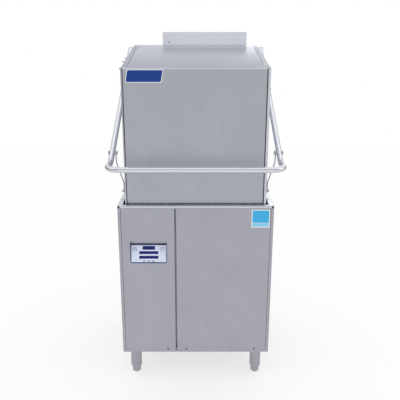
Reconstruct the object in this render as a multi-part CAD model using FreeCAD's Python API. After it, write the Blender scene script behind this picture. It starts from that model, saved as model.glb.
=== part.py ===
import FreeCAD, Part
import math
import os
from FreeCAD import Vector

# Upright door-type dishwasher for kitchens: a stainless cabinet with a wash tub,
# a hood with three doors that rise together, and a tube handle that lifts them.
# Millimetres. X runs to the right, Y from front to back, Z up. While the model is
# built, Y = 0 is the front edge of the tub rim and Z = 0 is the floor.

# ---- cabinet and tub ------------------------------------------------------------
rim_width = 690.0            # tub rim, side to side
rim_depth = 641.0            # tub rim, front to back
table_height = 864.0         # top of the rim, level with the dish tables
lip_height = 11.0            # turned-down edge of the rim
lip_radius = 5.0             # bend of the turned-down edge
lip_notch = 12.0             # open corner of the turned-down edge
front_ledge = 20.0           # rim deck in front of the tub opening
side_ledge = 23.0            # rim deck beside the tub opening
rear_ledge = 61.0            # rim deck behind the tub opening
tub_wall_depth = 134.0       # straight part of the tub walls
tub_slope_depth = 130.0      # sloping bottom of the tub
sump_width = 300.0
sump_depth = 240.0
sump_height = 80.0
cabinet_inset = 1.0          # cabinet sides behind the rim edge
cabinet_bottom = 139.0
panel_front = 2.0            # front face of the cabinet panels behind the rim edge
panel_rear = 2.0             # rear face of the cabinet in front of the rim edge
panel_drop = 0.5             # panels end this far below the turned-down edge
corner_strip = 13.0          # folded front edge of each side panel
corner_radius = 6.0
panel_radius = 2.5           # bend of the folded sheet edges
seam_width = 6.0             # dark seam between the two front panels
seam_place = 253.5           # seam from the left side of the cabinet
seam_stud = 40.0             # flat upright of the frame behind the seam
seam_stop = 24.0             # tab that keeps the two front panels apart at their foot
sheet = 1.5                  # stainless sheet
fit_gap = 0.5                # gap between parts that slide or lift off
seat_gap = 0.3               # gap where a loose piece rests

# ---- base frame and feet ---------------------------------------------------------
angle_leg = 30.0             # legs of the frame angle
angle_wall = 2.5
upright_gap = 2.0            # corner uprights from the tub walls
upright_wall = 2.0
gusset_reach = 45.0
cross_rail_half = 15.0       # half the width of the two rails across the frame
cross_rail_before = 90.0     # front rail in front of the pump axis
cross_rail_behind = 30.0     # rear rail in front of the booster axis
foot_side_inset = 54.0       # feet from the sides of the cabinet
foot_inset = 63.0            # feet from the front and rear edges of the rim
leg_radius = 26.0
foot_radius = 20.0
foot_length = 34.0           # visible part of a levelling foot
foot_bevel = 5.0

# ---- panel fasteners -------------------------------------------------------------
screw_height = 16.0          # lower screws above the bottom of the panels
seam_screw_left = 39.5       # screws from the seam
seam_screw_right = 46.5
side_screw = 67.0            # last screw from the right side of the cabinet
screw_head = 4.5
screw_head_height = 2.0

# ---- control panel --------------------------------------------------------------
control_place = 132.5        # centre of the recess from the left side of the cabinet
control_width = 169.0
control_height = 108.0
control_drop = 164.0         # top of the recess below the top of the rim
bezel_depth = 28.0
bezel_flange = 6.0           # flange of the pocket behind the panel
keypad_height = 84.0
keypad_thick = 3.0
control_tilt_depth = 22.0    # how far the top of the tilted keypad lies back
key_half = 8.0
key_raise = 0.6
key_sink = 1.0
key_up = 62.1                # centre of the keys above the bottom edge, along the keypad
key_left = -62.5             # centre of each key from the centre of the keypad
key_right = 60.5
key_travel = 0.8
window_raise = 0.5
window_half = 43.0           # the two wide windows
small_window_half = 28.0
control_box_width = 184.0
control_box_depth = 80.0
control_box_height = 280.0

# ---- hood -----------------------------------------------------------------------
hood_inset = 11.0            # hood sides inside the tub opening
hood_front = 27.0            # front plane of the hood behind the rim edge
hood_rear_gap = 2.0          # hood back in front of the tub's rear wall
hood_front_top = 1445.0
roof_rise = 95.0             # the roof slopes up towards the back
post_face = 11.0             # post strip seen from the front
post_side = 47.0             # post seen from the side
post_radius = 6.0            # bend of the corner seen at each front post
post_drop = 74.0             # posts reach this far below the rim
post_return = 26.0           # inner fold of a post behind the door slot
door_gap = 4.0               # open slot between a door and its posts
door_return = 12.0           # depth of the folded door edges
door_radius = 3.0            # bend of the door edges
side_top_return = 22.0       # depth of the top flange of the side doors
door_clear = 3.0             # door bottom above the rim
door_lift = 440.0
spacer_foot = 4.0            # blocks between the posts and the tub wall
spacer_height = 50.0
guide_thick = 3.0
guide_width = 20.0
guide_flange = 28.0          # post flange behind a door edge
guide_foot = 5.0             # guides start above the door's bottom edge
guide_end = 20.0             # guides end below the hood top
guide_cover = 6.0            # front guides stand this far behind the post face
tie_gap = 9.0                # corner brackets of the doors from the fold of each post
tie_wall = 3.0
tie_rise = 22.0
tie_height = 26.0
roof_flange = 34.0
vent_side_inset = 31.5       # right edge of the vent panel from the roof's right edge
vent_width = 422.0
vent_height = 62.0
vent_foot = 75.0
vent_hole = 2.5
vent_hole_in = 31.0
vent_hole_up = 14.0
back_clear = 10.0            # hood back ends this far above the lower wash pipe
switch_drop = 76.0           # door switch and magnet below the roof
switch_half = 12.0
switch_height = 34.0
switch_thick = 9.0
magnet_height = 30.0
magnet_thick = 7.0

# ---- handle, links and springs --------------------------------------------------
handle_overhang = 44.0       # outer side of each arm beyond the rim
tube_radius = 12.7
bar_y = -52.0
bar_z = 1040.0
corner_bend = 62.0           # bend of the tube at the two front corners
arm_bend = 75.0              # bend where each arm turns up
arm_bend_y = 80.0
arm_past_spring = 42.0       # rear end of each arm behind the spring
arm_end_z = 1519.0
arm_toe_in = 27.0            # arms lean inwards by this much at their rear ends
pivot_inset = 8.0            # handle pivot in front of the hood back
pivot_pin = 6.0
pivot_boss = 16.0
pivot_head = 19.0
pivot_head_height = 7.0
bush_wall = 2.0
bush_collar = 3.0
bush_past = 1.0              # bush ends this far outside the tube
running = 0.05               # radial clearance of the pivots
link_y = 129.0               # upper link pivot, on the arm's centre line
link_pin = 5.0
link_rod = 2.8
link_eye = 9.0
link_thick = 4.0
link_head = 16.0
link_head_height = 5.0
link_inset = 1.0             # rod ends this far inside the rim of each eye
foot_head = 13.0
foot_past = 8.0              # lower pivot pin outside the eye
link_side_gap = 1.2          # link eye from the side of the tube
link_high = 0.27             # the rod leaves the arm's plane at this share of its run
link_low = 0.78              # and meets the lower pivot's plane at this one
link_foot_y = 165.0          # lower link pivot when the doors are shut
link_foot_up = 22.0          # lower link pivot above the door's bottom edge
link_pad = 3.0               # pad on the side door behind the lower pivot
pad_before = 45.0
pad_behind = 25.0
pad_above = 32.0
foot_spacer = 15.0           # spacer between the pad and the lower eye
spring_from_rim = 59.0       # springs behind the rear edge of the rim
spring_radius = 14.0
spring_wire = 3.5
spring_hook = 14.0           # hook above the coil's end
spring_rise = 166.0          # lower spring hook above the rim
anchor_drop = 104.0          # spring anchors below the rim
anchor_thick = 4.0
spring_rod = 4.0
rod_below = 30.0             # rod below its anchor
rod_nut = 13.0
rod_nut_height = 7.0
rod_eye = 9.0
rod_eye_half = 3.0
anchor_half = 16.0
anchor_height = 60.0
anchor_foot = 42.0
ear_thick = 4.0              # plate under each arm for the spring hook
ear_below = 12.0             # plate below its hook hole
ear_hole = 5.0
ear_before = 26.0
ear_behind = 22.0
ear_foot = 12.0
ear_shoulder = 6.0
bracket_thick = 4.0
bracket_below = 55.0
bracket_above = 40.0
web_thick = 6.0
web_below = 50.0
web_edge = 12.0              # web below the pivot at its outer end
web_back = 4.0
end_cap = 2.5

# ---- wash system ----------------------------------------------------------------
wash_arm_gap = 25.5          # tips of the wash arms from the hood front
arm_width = 44.0             # wash arms at the hub
arm_tip_width = 24.0
arm_height = 20.0
jet_count = 5                # jets on each half of an arm
jet_depth = 3.0
rinse_arm_gap = 40.5
rinse_tube = 7.0             # half the width of the square rinse tube
spindle_radius = 12.0
spindle_foot = 7.7           # collar under the wash arm's hub
spindle_spacer = 4.4         # collar between the two hubs
spindle_nut = 8.0
spindle_nut_width = 34.0
spindle_foot_step = 5.0
spindle_spacer_step = 3.0
jet_half = 2.0
jet_reach = 8.0
hub_radius = 24.0
hub_height = 24.0
rinse_hub_radius = 19.0
rinse_hub_height = 15.0
lower_arm_drop = 58.0        # underside of the lower wash arm below the rim
upper_arm_drop = 96.5        # top of the upper wash arm below the roof
pipe_radius = 19.0
branch_radius = 17.5         # branch of the wash riser to the lower spindle
feed_drop = 24.0             # lower wash pipe below its spindle
rinse_pipe_radius = 8.0
pipe_below = 32.0            # wash riser ends below the lower wash pipe
elbow_radius = 13.0
riser_base = 8.0
breaker_radius = 18.0
breaker_height = 34.0
rinse_entry_x = 55.0
rinse_entry_drop = 32.0      # rinse pipe below the roof over the spindles
riser_gap = 30.0             # rinse riser behind the hood
rail_rise = 4.0              # racks slide this far above the rim
rail_inset = 23.5            # leaves 504 mm for a standard 500 mm rack
rail_leg = 28.0
rail_wall = 2.0
rail_fence = 13.0
rail_bracket_x = 180.0
rail_bracket_half = 12.0
rail_bracket_thick = 3.0
rail_bracket_drop = 60.0     # brackets reach this far below the rim
rail_end = 48.0              # ends of the rails from the hood sides
strainer_rise = 4.0          # strainers above the start of the sloping floor
strainer_height = 14.0
strainer_gap = 2.0
strainer_rear = 36.0
strainer_rows = 9
strainer_margin = 30.0       # first slot from the edge of a strainer
strainer_border = 20.0       # plain border beside the slots
slot_half = 3.0
ledge_width = 10.0
ledge_thick = 3.0
basket_half = 59.0
basket_gap = 3.0
basket_rim = 6.0
overflow_radius = 15.0
overflow_wall = 2.5
overflow_foot = 5.0
basket_depth = 88.0
basket_front = 60.0          # basket in front of the middle of the tub
basket_clear = 6.0           # basket in front of the sloping floor

# ---- machinery under the tub ----------------------------------------------------
motor_radius = 78.0
pump_from_sump = 84.0        # pump axis from the right side of the sump
volute_radius = 92.0
volute_height = 55.0
volute_drop = 48.0           # gap between the sump and the pump casing
pump_neck = 22.0
neck_past = 20.0             # neck past the pump casing
motor_ribs = 8
rib_half = 3.0
rib_end = 30.0
motor_plate_half = 60.0
motor_plate_thick = 6.0
hose_radius = 27.0           # suction hose
discharge_radius = 24.0
discharge_bend = 40.0
booster_radius = 90.0
booster_gap = 41.0           # booster top below the sump's shoulder
booster_rear_inset = 136.0   # booster axis from the rear edge of the rim
booster_legs = 40.0          # bottom of the booster above the cabinet's bottom
bearer_spread = 45.0         # booster bearers on each side of its axis
bearer_half = 3.0
booster_cap = 10.0
drain_radius = 24.0
drain_wall = 4.0
drain_bore = 64.0
drain_rise = 71.0            # drain outlet above the cabinet's bottom
drain_past = 34.0            # drain outlet behind the rim
drain_bend = 30.0
drain_collar = 20.0
inlet_rise = 161.0
inlet_radius = 11.0
inlet_bore = 8.3
inlet_past = 26.0            # water inlet behind the rim
inlet_side = 60.0            # inlet from the booster axis
inlet_depth = 18.0
valve_half = 19.0
valve_rise = 17.0
valve_near = 40.0            # valve body in front of the inlet
valve_far = 76.0
coil_half = 14.0
coil_height = 37.0
power_drop = 244.0           # cable gland below the rim
power_side_inset = 94.0
gland_radius = 14.0
gland_bore = 8.0
gland_inside = 13.5
gland_past = 14.0
gland_nut = 36.0
heater_rod = 5.5
heater_rise = 46.0           # heater above the bottom of the sump
heater_left = 20.0
heater_right = 118.0
heater_front = 60.0          # hairpin behind the front of the sump
heater_bend = 16.0
heater_plate = 20.0
heater_plate_thick = 5.0

# ---- sizes worked out from the ones above ----------------------------------------
rim_half = rim_width / 2
cabinet_half = rim_half - cabinet_inset
tub_half = rim_half - side_ledge
tub_front = front_ledge
tub_back = rim_depth - rear_ledge
tub_floor = table_height - tub_wall_depth
sump_top = tub_floor - tub_slope_depth
sump_bottom = sump_top - sump_height
tub_mid = (tub_front + tub_back) / 2
hood_half = tub_half - hood_inset
hood_back = tub_back - hood_rear_gap
hood_depth = hood_back - hood_front
hood_back_top = hood_front_top + roof_rise
roof_slope = roof_rise / hood_depth
chamber_y = hood_front + hood_depth / 2
panel_top = table_height - lip_height - panel_drop
panel_return = front_ledge - panel_front - 2 * sheet - 2 * fit_gap
frame_half = cabinet_half - sheet
frame_front = panel_front + panel_return + fit_gap
frame_back = rim_depth - panel_rear - sheet
lip_inside = lip_radius - sheet
bend_rise = math.sqrt(lip_inside ** 2 - (frame_half - rim_half + lip_radius) ** 2)
upright_top = table_height - lip_radius + bend_rise - seat_gap
upright_leg = frame_half - tub_half - sheet - upright_gap
foot_x = cabinet_half - foot_side_inset
foot_front_y = foot_inset
foot_rear_y = rim_depth - foot_inset
seam_x = seam_place - cabinet_half
control_x = control_place - cabinet_half
control_top = table_height - control_drop
control_bottom = control_top - control_height
keypad_length = math.hypot(control_tilt_depth, keypad_height)
key_room = key_sink + key_travel + seat_gap
keypad_foot = control_bottom + fit_gap + sheet + seat_gap
keypad_foot += keypad_thick * control_tilt_depth / keypad_length
door_bottom = table_height + door_clear
door_half = hood_half - post_face - door_gap
side_door_front = hood_front + post_side + door_gap
rear_post_front = hood_back - post_side + 1.0
side_door_back = rear_post_front - door_gap
flange_x = hood_half - side_top_return - 1.0
slot_y = hood_front + door_return + fit_gap + guide_thick
vent_right = hood_half - side_top_return - sheet - vent_side_inset
vent_left = vent_right - vent_width
bar_half = rim_half + handle_overhang - tube_radius
spring_y = rim_depth + spring_from_rim
spring_foot_z = table_height + spring_rise
anchor_z = table_height - anchor_drop
pivot_y = hood_back - pivot_inset
arm_end_y = spring_y + arm_past_spring
arm_slope = (arm_end_z - bar_z) / (arm_end_y - arm_bend_y)
pivot_z = bar_z + (pivot_y - arm_bend_y) * arm_slope
link_z = bar_z + (link_y - arm_bend_y) * arm_slope
link_foot_z = door_bottom + link_foot_up
arm_radius = hood_depth / 2 - wash_arm_gap
rinse_radius = hood_depth / 2 - rinse_arm_gap
lower_arm_z = table_height - lower_arm_drop
upper_arm_z = hood_front_top + roof_rise / 2 - upper_arm_drop
hub_start = spindle_foot + seat_gap
spacer_start = hub_start + hub_height + seat_gap
rinse_hub_middle = spacer_start + spindle_spacer + seat_gap + rinse_hub_height / 2
nut_start = rinse_hub_middle + rinse_hub_height / 2 + seat_gap
lower_base = lower_arm_z - (hub_height - arm_height) / 2 - hub_start
upper_base = upper_arm_z + (hub_height - arm_height) / 2 + hub_start
feed_z = lower_base - feed_drop
riser_y = (hood_back + rim_depth) / 2
rinse_entry_z = hood_front_top + roof_rise / 2 - rinse_entry_drop
rinse_riser_y = hood_back + riser_gap
sump_back = tub_mid + sump_depth / 2
heater_z = sump_bottom + heater_rise
volute_top = sump_bottom - sheet - volute_drop
volute_bottom = volute_top - volute_height
outlet_z = volute_top - volute_height / 2
neck_end = tub_mid + volute_radius + neck_past
rail_z = table_height + rail_rise
strainer_z = tub_floor + strainer_rise
basket_bottom = strainer_z - basket_depth
pump_x = sump_width / 2 - pump_from_sump
booster_x = -(sump_width / 2 + sheet + frame_half) / 2
booster_y = rim_depth - booster_rear_inset
front_rail_y = tub_mid - cross_rail_before
rear_rail_y = booster_y - cross_rail_behind
rail_top = cabinet_bottom + angle_wall
booster_bottom = cabinet_bottom + booster_legs
booster_height = sump_top - booster_gap - booster_bottom
inlet_x = booster_x + inlet_side
inlet_z = cabinet_bottom + inlet_rise
drain_x = -sump_width / 4
drain_z = cabinet_bottom + drain_rise
power_x = cabinet_half - power_side_inset
power_z = table_height - power_drop


def vec(x, y, z):
    return Vector(x, y, z)


def box(x0, x1, y0, y1, z0, z1):
    """Upright box between two corners."""
    return Part.makeBox(x1 - x0, y1 - y0, z1 - z0, vec(x0, y0, z0))


def rod(start, end, radius):
    """Round bar from one point to another."""
    run = end.sub(start)
    return Part.makeCylinder(radius, run.Length, start, run)


def upright(x, y, z0, z1, radius):
    """Round bar that stands on the place (x, y)."""
    return Part.makeCylinder(radius, z1 - z0, vec(x, y, z0), vec(0, 0, 1))


def lengthwise(x, z, y0, y1, radius):
    """Round bar that runs from front to back."""
    return Part.makeCylinder(radius, y1 - y0, vec(x, y0, z), vec(0, 1, 0))


def ring(start, end, outer, inner):
    """Round bar with a bore along its axis."""
    return rod(start, end, outer).cut(rod(start, end, inner))


def prism(points, run):
    """Straight extrusion of a closed outline."""
    outline = Part.makePolygon(points + [points[0]])
    return Part.Face(outline).extrude(run)


def mirror_x(shape):
    """The same piece on the other side of the machine."""
    return shape.mirror(vec(0, 0, 0), vec(1, 0, 0))


def both_sides(shape):
    """Compound of a piece and its mirror image."""
    return Part.makeCompound([shape, mirror_x(shape)])


def fuse(shapes):
    """One solid from several that touch or overlap."""
    whole = shapes[0]
    for piece in shapes[1:]:
        whole = whole.fuse(piece)
    return whole.removeSplitter()


def cut_all(shape, tools):
    for tool in tools:
        shape = shape.cut(tool)
    return shape


def edges_at(shape, x=None, y=None, z=None):
    """Straight edges that lie wholly at the given coordinates."""
    found = []
    for edge in shape.Edges:
        bounds = edge.BoundBox
        spans = [(x, bounds.XMin, bounds.XMax), (y, bounds.YMin, bounds.YMax), (z, bounds.ZMin, bounds.ZMax)]
        if all(at is None or max(abs(low - at), abs(high - at)) < 0.01 for at, low, high in spans):
            found.append(edge)
    return found


def roof_z(y):
    """Height of the sloping hood top at a given depth."""
    return hood_front_top + (y - hood_front) * roof_slope


def below_roof():
    """Block that holds everything under the hood top."""
    y0 = hood_front - 1.0
    y1 = hood_back + 1.0
    points = [vec(-rim_half, y0, 0), vec(-rim_half, y1, 0),
              vec(-rim_half, y1, roof_z(y1)), vec(-rim_half, y0, roof_z(y0))]
    return prism(points, vec(rim_width, 0, 0))


def folded_section(points, wall, z0, z1):
    """Sheet bent along a line of (x, y) points, its wall on the left of the line."""
    count = len(points)
    inner = []
    for i in range(count):
        normals = []
        if i > 0:
            normals.append(left_normal(points[i - 1], points[i]))
        if i < count - 1:
            normals.append(left_normal(points[i], points[i + 1]))
        nx = sum(n[0] for n in normals) / len(normals)
        ny = sum(n[1] for n in normals) / len(normals)
        scale = wall / (nx * nx + ny * ny)
        inner.append((points[i][0] + nx * scale, points[i][1] + ny * scale))
    outline = [vec(x, y, z0) for x, y in points + inner[::-1]]
    return prism(outline, vec(0, 0, z1 - z0))


def left_normal(a, b):
    """Unit vector to the left of the run from a to b."""
    dx = b[0] - a[0]
    dy = b[1] - a[1]
    length = math.hypot(dx, dy)
    return (-dy / length, dx / length)


def rounded_fold(shape, x, y, radius, wall):
    """Bend of a folded sheet whose outer corner stands at (x, y), its inside to the rear left."""
    shape = shape.makeFillet(radius, edges_at(shape, x=x, y=y))
    return shape.makeFillet(radius - wall, edges_at(shape, x=x - wall, y=y + wall))


def bent_rod(points, radii, radius):
    """Round bar that follows straight runs joined by tangent arcs."""
    pieces = []
    start = points[0]
    for i in range(1, len(points) - 1):
        into = points[i].sub(points[i - 1]).normalize()
        out = points[i + 1].sub(points[i]).normalize()
        half_turn = into.getAngle(out) / 2
        reach = radii[i - 1] * math.tan(half_turn)
        arc_start = points[i].sub(into * reach)
        inward = out.sub(into).normalize()
        centre = points[i].add(inward * (radii[i - 1] / math.cos(half_turn)))
        section = Part.Face(Part.Wire(Part.makeCircle(radius, arc_start, into)))
        pieces.append(rod(start, arc_start, radius))
        pieces.append(section.revolve(centre, into.cross(out), math.degrees(2 * half_turn)))
        start = points[i].add(out * reach)
    pieces.append(rod(start, points[-1], radius))
    return fuse(pieces)


def mitred_rod(points, radius):
    """Round pipe of straight runs, each cut at half the angle where it meets the next."""
    runs = []
    for i in range(len(points) - 1):
        along = points[i + 1].sub(points[i]).normalize()
        spare = along * (2 * radius)
        start = points[i] if i == 0 else points[i].sub(spare)
        end = points[i + 1] if i == len(points) - 2 else points[i + 1].add(spare)
        run = rod(start, end, radius)
        if i > 0:
            before = points[i].sub(points[i - 1]).normalize()
            run = run.cut(half_space(points[i], before.add(along) * -1, radius))
        if i < len(points) - 2:
            after = points[i + 2].sub(points[i + 1]).normalize()
            run = run.cut(half_space(points[i + 1], after.add(along), radius))
        runs.append(run)
    return fuse(runs)


def half_space(point, away, radius):
    """Block on one side of a plane, wide enough to trim a pipe."""
    return rod(point, point.add(away.normalize() * (8 * radius)), 8 * radius)


def eased(points, reach):
    """Corners of a line of points, each made into two gentler ones."""
    line = [points[0]]
    for i in range(1, len(points) - 1):
        back = points[i - 1].sub(points[i]).normalize()
        on = points[i + 1].sub(points[i]).normalize()
        line += [points[i].add(back * reach), points[i].add(on * reach)]
    return line + [points[-1]]


def hexagon(centre, across, run):
    """Hexagonal head or nut that starts at a point and grows along run."""
    side = vec(0, 0, 1) if abs(run.x) + abs(run.y) > abs(run.z) else vec(1, 0, 0)
    other = run.cross(side).normalize()
    radius = across / math.sqrt(3)
    points = []
    for i in range(6):
        turn = math.radians(60 * i)
        points.append(centre.add(side * (radius * math.cos(turn))).add(other * (radius * math.sin(turn))))
    return prism(points, run)


# ---- cabinet ---------------------------------------------------------------------

def foot_places():
    return [(x, y) for x in (-foot_x, foot_x) for y in (foot_front_y, foot_rear_y)]


def base_frame():
    """Welded ring of steel angle with a gusset plate over each foot, and its uprights."""
    z0 = cabinet_bottom
    z1 = cabinet_bottom + angle_leg
    inner = frame_half - angle_wall
    y0 = frame_front + angle_wall
    y1 = frame_back - angle_wall
    outer = box(-frame_half, frame_half, frame_front, frame_back, z0, z1)
    room = box(-inner, inner, y0, y1, rail_top, z1)
    open_half = frame_half - angle_leg
    hole = box(-open_half, open_half, frame_front + angle_leg, frame_back - angle_leg, z0, z1)
    gussets = [box(max(x - gusset_reach, -inner), min(x + gusset_reach, inner), max(y - gusset_reach, y0),
                   min(y + gusset_reach, y1), z0, rail_top) for x, y in foot_places()]
    rails = [box(-inner, inner, y - cross_rail_half, y + cross_rail_half, z0, rail_top)
             for y in (front_rail_y, rear_rail_y)]
    stop_half = seam_width / 2 - fit_gap
    stop = box(seam_x - stop_half, seam_x + stop_half, panel_front + sheet, frame_front,
               rail_top, z0 + seam_stop)
    frame = fuse([outer.cut(room).cut(hole), stop] + gussets + rails)
    stud = box(seam_x - seam_stud / 2, seam_x + seam_stud / 2, frame_front, frame_front + sheet, z1,
               table_height - sheet)
    return Part.makeCompound([frame, stud] + cabinet_uprights())


def cabinet_uprights():
    """Corner angles that carry the tub rim on the base frame."""
    x = frame_half
    z0 = cabinet_bottom + angle_leg
    z1 = upright_top
    front_line = [(x - upright_leg, frame_front), (x, frame_front), (x, frame_front + upright_leg)]
    rear_line = [(x, frame_back - upright_leg), (x, frame_back), (x - upright_leg, frame_back)]
    uprights = [folded_section(line, upright_wall, z0, z1) for line in (front_line, rear_line)]
    return uprights + [mirror_x(upright) for upright in uprights]


def leg_sleeves():
    """Round steel legs under the gussets."""
    return Part.makeCompound([upright(x, y, foot_length, cabinet_bottom, leg_radius)
                              for x, y in foot_places()])


def feet():
    """Levelling feet with bevelled soles."""
    outline = [(0, 0), (foot_radius - foot_bevel, 0), (foot_radius, foot_bevel), (foot_radius, foot_length),
               (0, foot_length), (0, 0)]
    face = Part.Face(Part.makePolygon([vec(r, 0, z) for r, z in outline]))
    pad = face.revolve(vec(0, 0, 0), vec(0, 0, 1), 360)
    return Part.makeCompound([pad.translated(vec(x, y, 0)) for x, y in foot_places()])


def rectangle(half_x, y0, y1, z):
    return [vec(-half_x, y0, z), vec(half_x, y0, z), vec(half_x, y1, z), vec(-half_x, y1, z)]


def hopper(top, bottom):
    """Solid with flat sloping sides between two rectangles."""
    outlines = [top, bottom]
    outlines += [[top[i - 1], top[i], bottom[i], bottom[i - 1]] for i in range(4)]
    faces = [Part.Face(Part.makePolygon(points + [points[0]])) for points in outlines]
    return Part.Solid(Part.Shell(faces))


def tub_body(grow):
    """Solid of the tub's inside, or of its outside when grown by the sheet."""
    half = tub_half + grow
    y0 = tub_front - grow
    y1 = tub_back + grow
    walls = box(-half, half, y0, y1, tub_floor, table_height)
    sump_half = sump_width / 2 + grow
    s0 = sump_back - sump_depth - grow
    s1 = sump_back + grow
    slope = hopper(rectangle(half, y0, y1, tub_floor), rectangle(sump_half, s0, s1, sump_top))
    sump = box(-sump_half, sump_half, s0, s1, sump_bottom - grow, sump_top)
    return fuse([walls, slope, sump])


def rolled_lip(half):
    """Turned-down edge along X that faces the front, its outside at Y = 0."""
    z0 = table_height - lip_height
    outer = box(-half, half, 0, 2 * lip_radius, z0, table_height)
    outer = outer.makeFillet(lip_radius, edges_at(outer, y=0, z=table_height))
    inner = box(-half, half, sheet, 3 * lip_radius, z0, table_height - sheet)
    inner = inner.makeFillet(lip_inside, edges_at(inner, y=sheet, z=table_height - sheet))
    return outer.cut(inner)


def tub():
    """Wash tub: rim deck with turned-down edges, walls, sloping floor and sump."""
    deck = box(lip_radius - rim_half, rim_half - lip_radius, lip_radius, rim_depth - lip_radius,
               table_height - sheet, table_height)
    lips = [rolled_lip(rim_half - lip_notch)]
    lips.append(turned(rolled_lip(rim_half - lip_notch), 180, 0, rim_depth))
    lips.append(turned(rolled_lip(rim_depth / 2 - lip_notch), 90, rim_half, rim_depth / 2))
    lips.append(turned(rolled_lip(rim_depth / 2 - lip_notch), -90, -rim_half, rim_depth / 2))
    whole = fuse([deck, tub_body(sheet)] + lips)
    whole = whole.cut(tub_body(0))
    z0 = sump_bottom - 2 * sheet
    z1 = sump_bottom + sheet
    drain_hole = upright(drain_x, tub_mid, z0, z1, drain_radius - drain_wall)
    suction_hole = upright(pump_x, tub_mid, z0, z1, hose_radius - drain_wall)
    feed_hole = lengthwise(0, feed_z, tub_back - sheet, tub_back + 2 * sheet, branch_radius + seat_gap)
    riser_hole = upright(0, riser_y, table_height - 2 * sheet, table_height + sheet, pipe_radius + seat_gap)
    return cut_all(whole, [drain_hole, suction_hole, feed_hole, riser_hole])


def turned(shape, angle, x, y):
    """Piece turned about the upright axis through the origin and moved into place."""
    return shape.rotated(vec(0, 0, 0), vec(0, 0, 1), angle).translated(vec(x, y, 0))


def side_panel():
    """Right side panel, folded round the front corner of the cabinet."""
    x = cabinet_half
    outline = [(x - corner_strip, panel_front), (x, panel_front), (x, rim_depth - panel_rear)]
    panel = folded_section(outline, sheet, cabinet_bottom, panel_top)
    return rounded_fold(panel, x, panel_front, corner_radius, sheet)


def front_pan(x0, x1):
    """Front panel with folded edges."""
    y1 = panel_front + panel_return
    pan = box(x0, x1, panel_front, y1, cabinet_bottom, panel_top)
    edges = edges_at(pan, x=x0, y=panel_front) + edges_at(pan, x=x1, y=panel_front)
    edges += edges_at(pan, y=panel_front, z=panel_top)
    pan = pan.makeFillet(panel_radius, edges)
    hollow = box(x0 + sheet, x1 - sheet, panel_front + sheet, y1 + 1,
                 cabinet_bottom + sheet, panel_top - sheet)
    return pan.cut(hollow)


def front_panel_left():
    pan = front_pan(corner_strip + fit_gap - cabinet_half, seam_x - seam_width / 2)
    x0 = control_x - control_width / 2
    x1 = control_x + control_width / 2
    window = box(x0, x1, 0, panel_front + 2 * sheet, control_bottom, control_top)
    return pan.cut(window)


def front_panel_right():
    return front_pan(seam_x + seam_width / 2, cabinet_half - corner_strip - fit_gap)


def rear_panel():
    """Flat back of the cabinet with holes for the services."""
    y1 = rim_depth - panel_rear
    half = frame_half - fit_gap
    panel = box(-half, half, y1 - sheet, y1, cabinet_bottom, panel_top)
    holes = [lengthwise(x, z, y1 - 2 * sheet, y1 + sheet, radius + seat_gap)
             for x, z, radius in ((drain_x, drain_z, drain_radius), (inlet_x, inlet_z, inlet_radius),
                                  (power_x, power_z, gland_radius))]
    return cut_all(panel, holes)


def panel_screws():
    """Heads of the screws along the bottom of the front panels."""
    z = cabinet_bottom + screw_height
    places = [seam_x - seam_screw_left, seam_x + seam_screw_right, cabinet_half - side_screw]
    return Part.makeCompound([lengthwise(x, z, panel_front - screw_head_height, panel_front, screw_head)
                              for x in places])


# ---- controls --------------------------------------------------------------------

def keypad_point(x, up, out):
    """Point on the tilted keypad: up along its face from the bottom edge, out of its face."""
    sine = control_tilt_depth / keypad_length
    cosine = keypad_height / keypad_length
    y = panel_front + up * sine - out * cosine
    z = keypad_foot + up * cosine + out * sine
    return vec(x, y, z)


def tilted_block(x0, x1, up0, up1, out0, out1):
    """Block laid on the tilted keypad."""
    points = [keypad_point(x0, up0, out0), keypad_point(x0, up1, out0),
              keypad_point(x0, up1, out1), keypad_point(x0, up0, out1)]
    return prism(points, vec(x1 - x0, 0, 0))


def control_bezel():
    """Sheet pocket that holds the tilted keypad in the left front panel."""
    x0 = control_x - control_width / 2 + fit_gap
    x1 = control_x + control_width / 2 - fit_gap
    z0 = control_bottom + fit_gap
    z1 = control_top - fit_gap
    y1 = panel_front + bezel_depth
    air = box(x0 + sheet, x1 - sheet, 0, y1 - sheet, z0 + sheet, z1 - sheet)
    pocket = box(x0, x1, panel_front, y1, z0, z1)
    flange = box(x0 - bezel_flange, x1 + bezel_flange, panel_front + sheet, panel_front + 2 * sheet,
                 z0 - bezel_flange, z1 + bezel_flange)
    return fuse([pocket, flange]).cut(air)


def keypad():
    """Membrane panel with two pockets where the keys move."""
    x0 = control_x - control_width / 2 + fit_gap + sheet
    x1 = control_x + control_width / 2 - fit_gap - sheet
    plate = tilted_block(x0, x1, 0, keypad_length, -keypad_thick, 0)
    room = key_half + fit_gap
    for x in key_places():
        plate = plate.cut(tilted_block(x - room, x + room, key_up - room, key_up + room, -key_room, 1))
    return plate


def key_places():
    """Centres of the power key and the start key."""
    return [control_x + key_left, control_x + key_right]


def membrane_key(x):
    """One raised key of the membrane panel."""
    return tilted_block(x - key_half, x + key_half, key_up - key_half, key_up + key_half,
                        -key_sink, key_raise)


def display_windows():
    """Three dark windows of the control panel."""
    rows = [(small_window_half, 59.8, 76.4), (window_half, 40.3, 53.0), (window_half, 19.1, 32.2)]
    return Part.makeCompound([tilted_block(control_x - half, control_x + half, up0, up1, 0, window_raise)
                              for half, up0, up1 in rows])


def control_box():
    """Electrical box behind the left front panel."""
    x0 = control_x - control_box_width / 2
    x1 = control_x + control_box_width / 2
    y0 = panel_front + 2 * sheet
    y1 = y0 + control_box_depth
    z1 = control_bottom - 2 * sheet
    z0 = z1 - control_box_height
    case = box(x0, x1, y0, y1, z0, z1)
    return case.cut(box(x0 + sheet, x1 - sheet, y0 + sheet, y1 - sheet, z0 + sheet, z1 - sheet))


# ---- hood ------------------------------------------------------------------------

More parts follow.
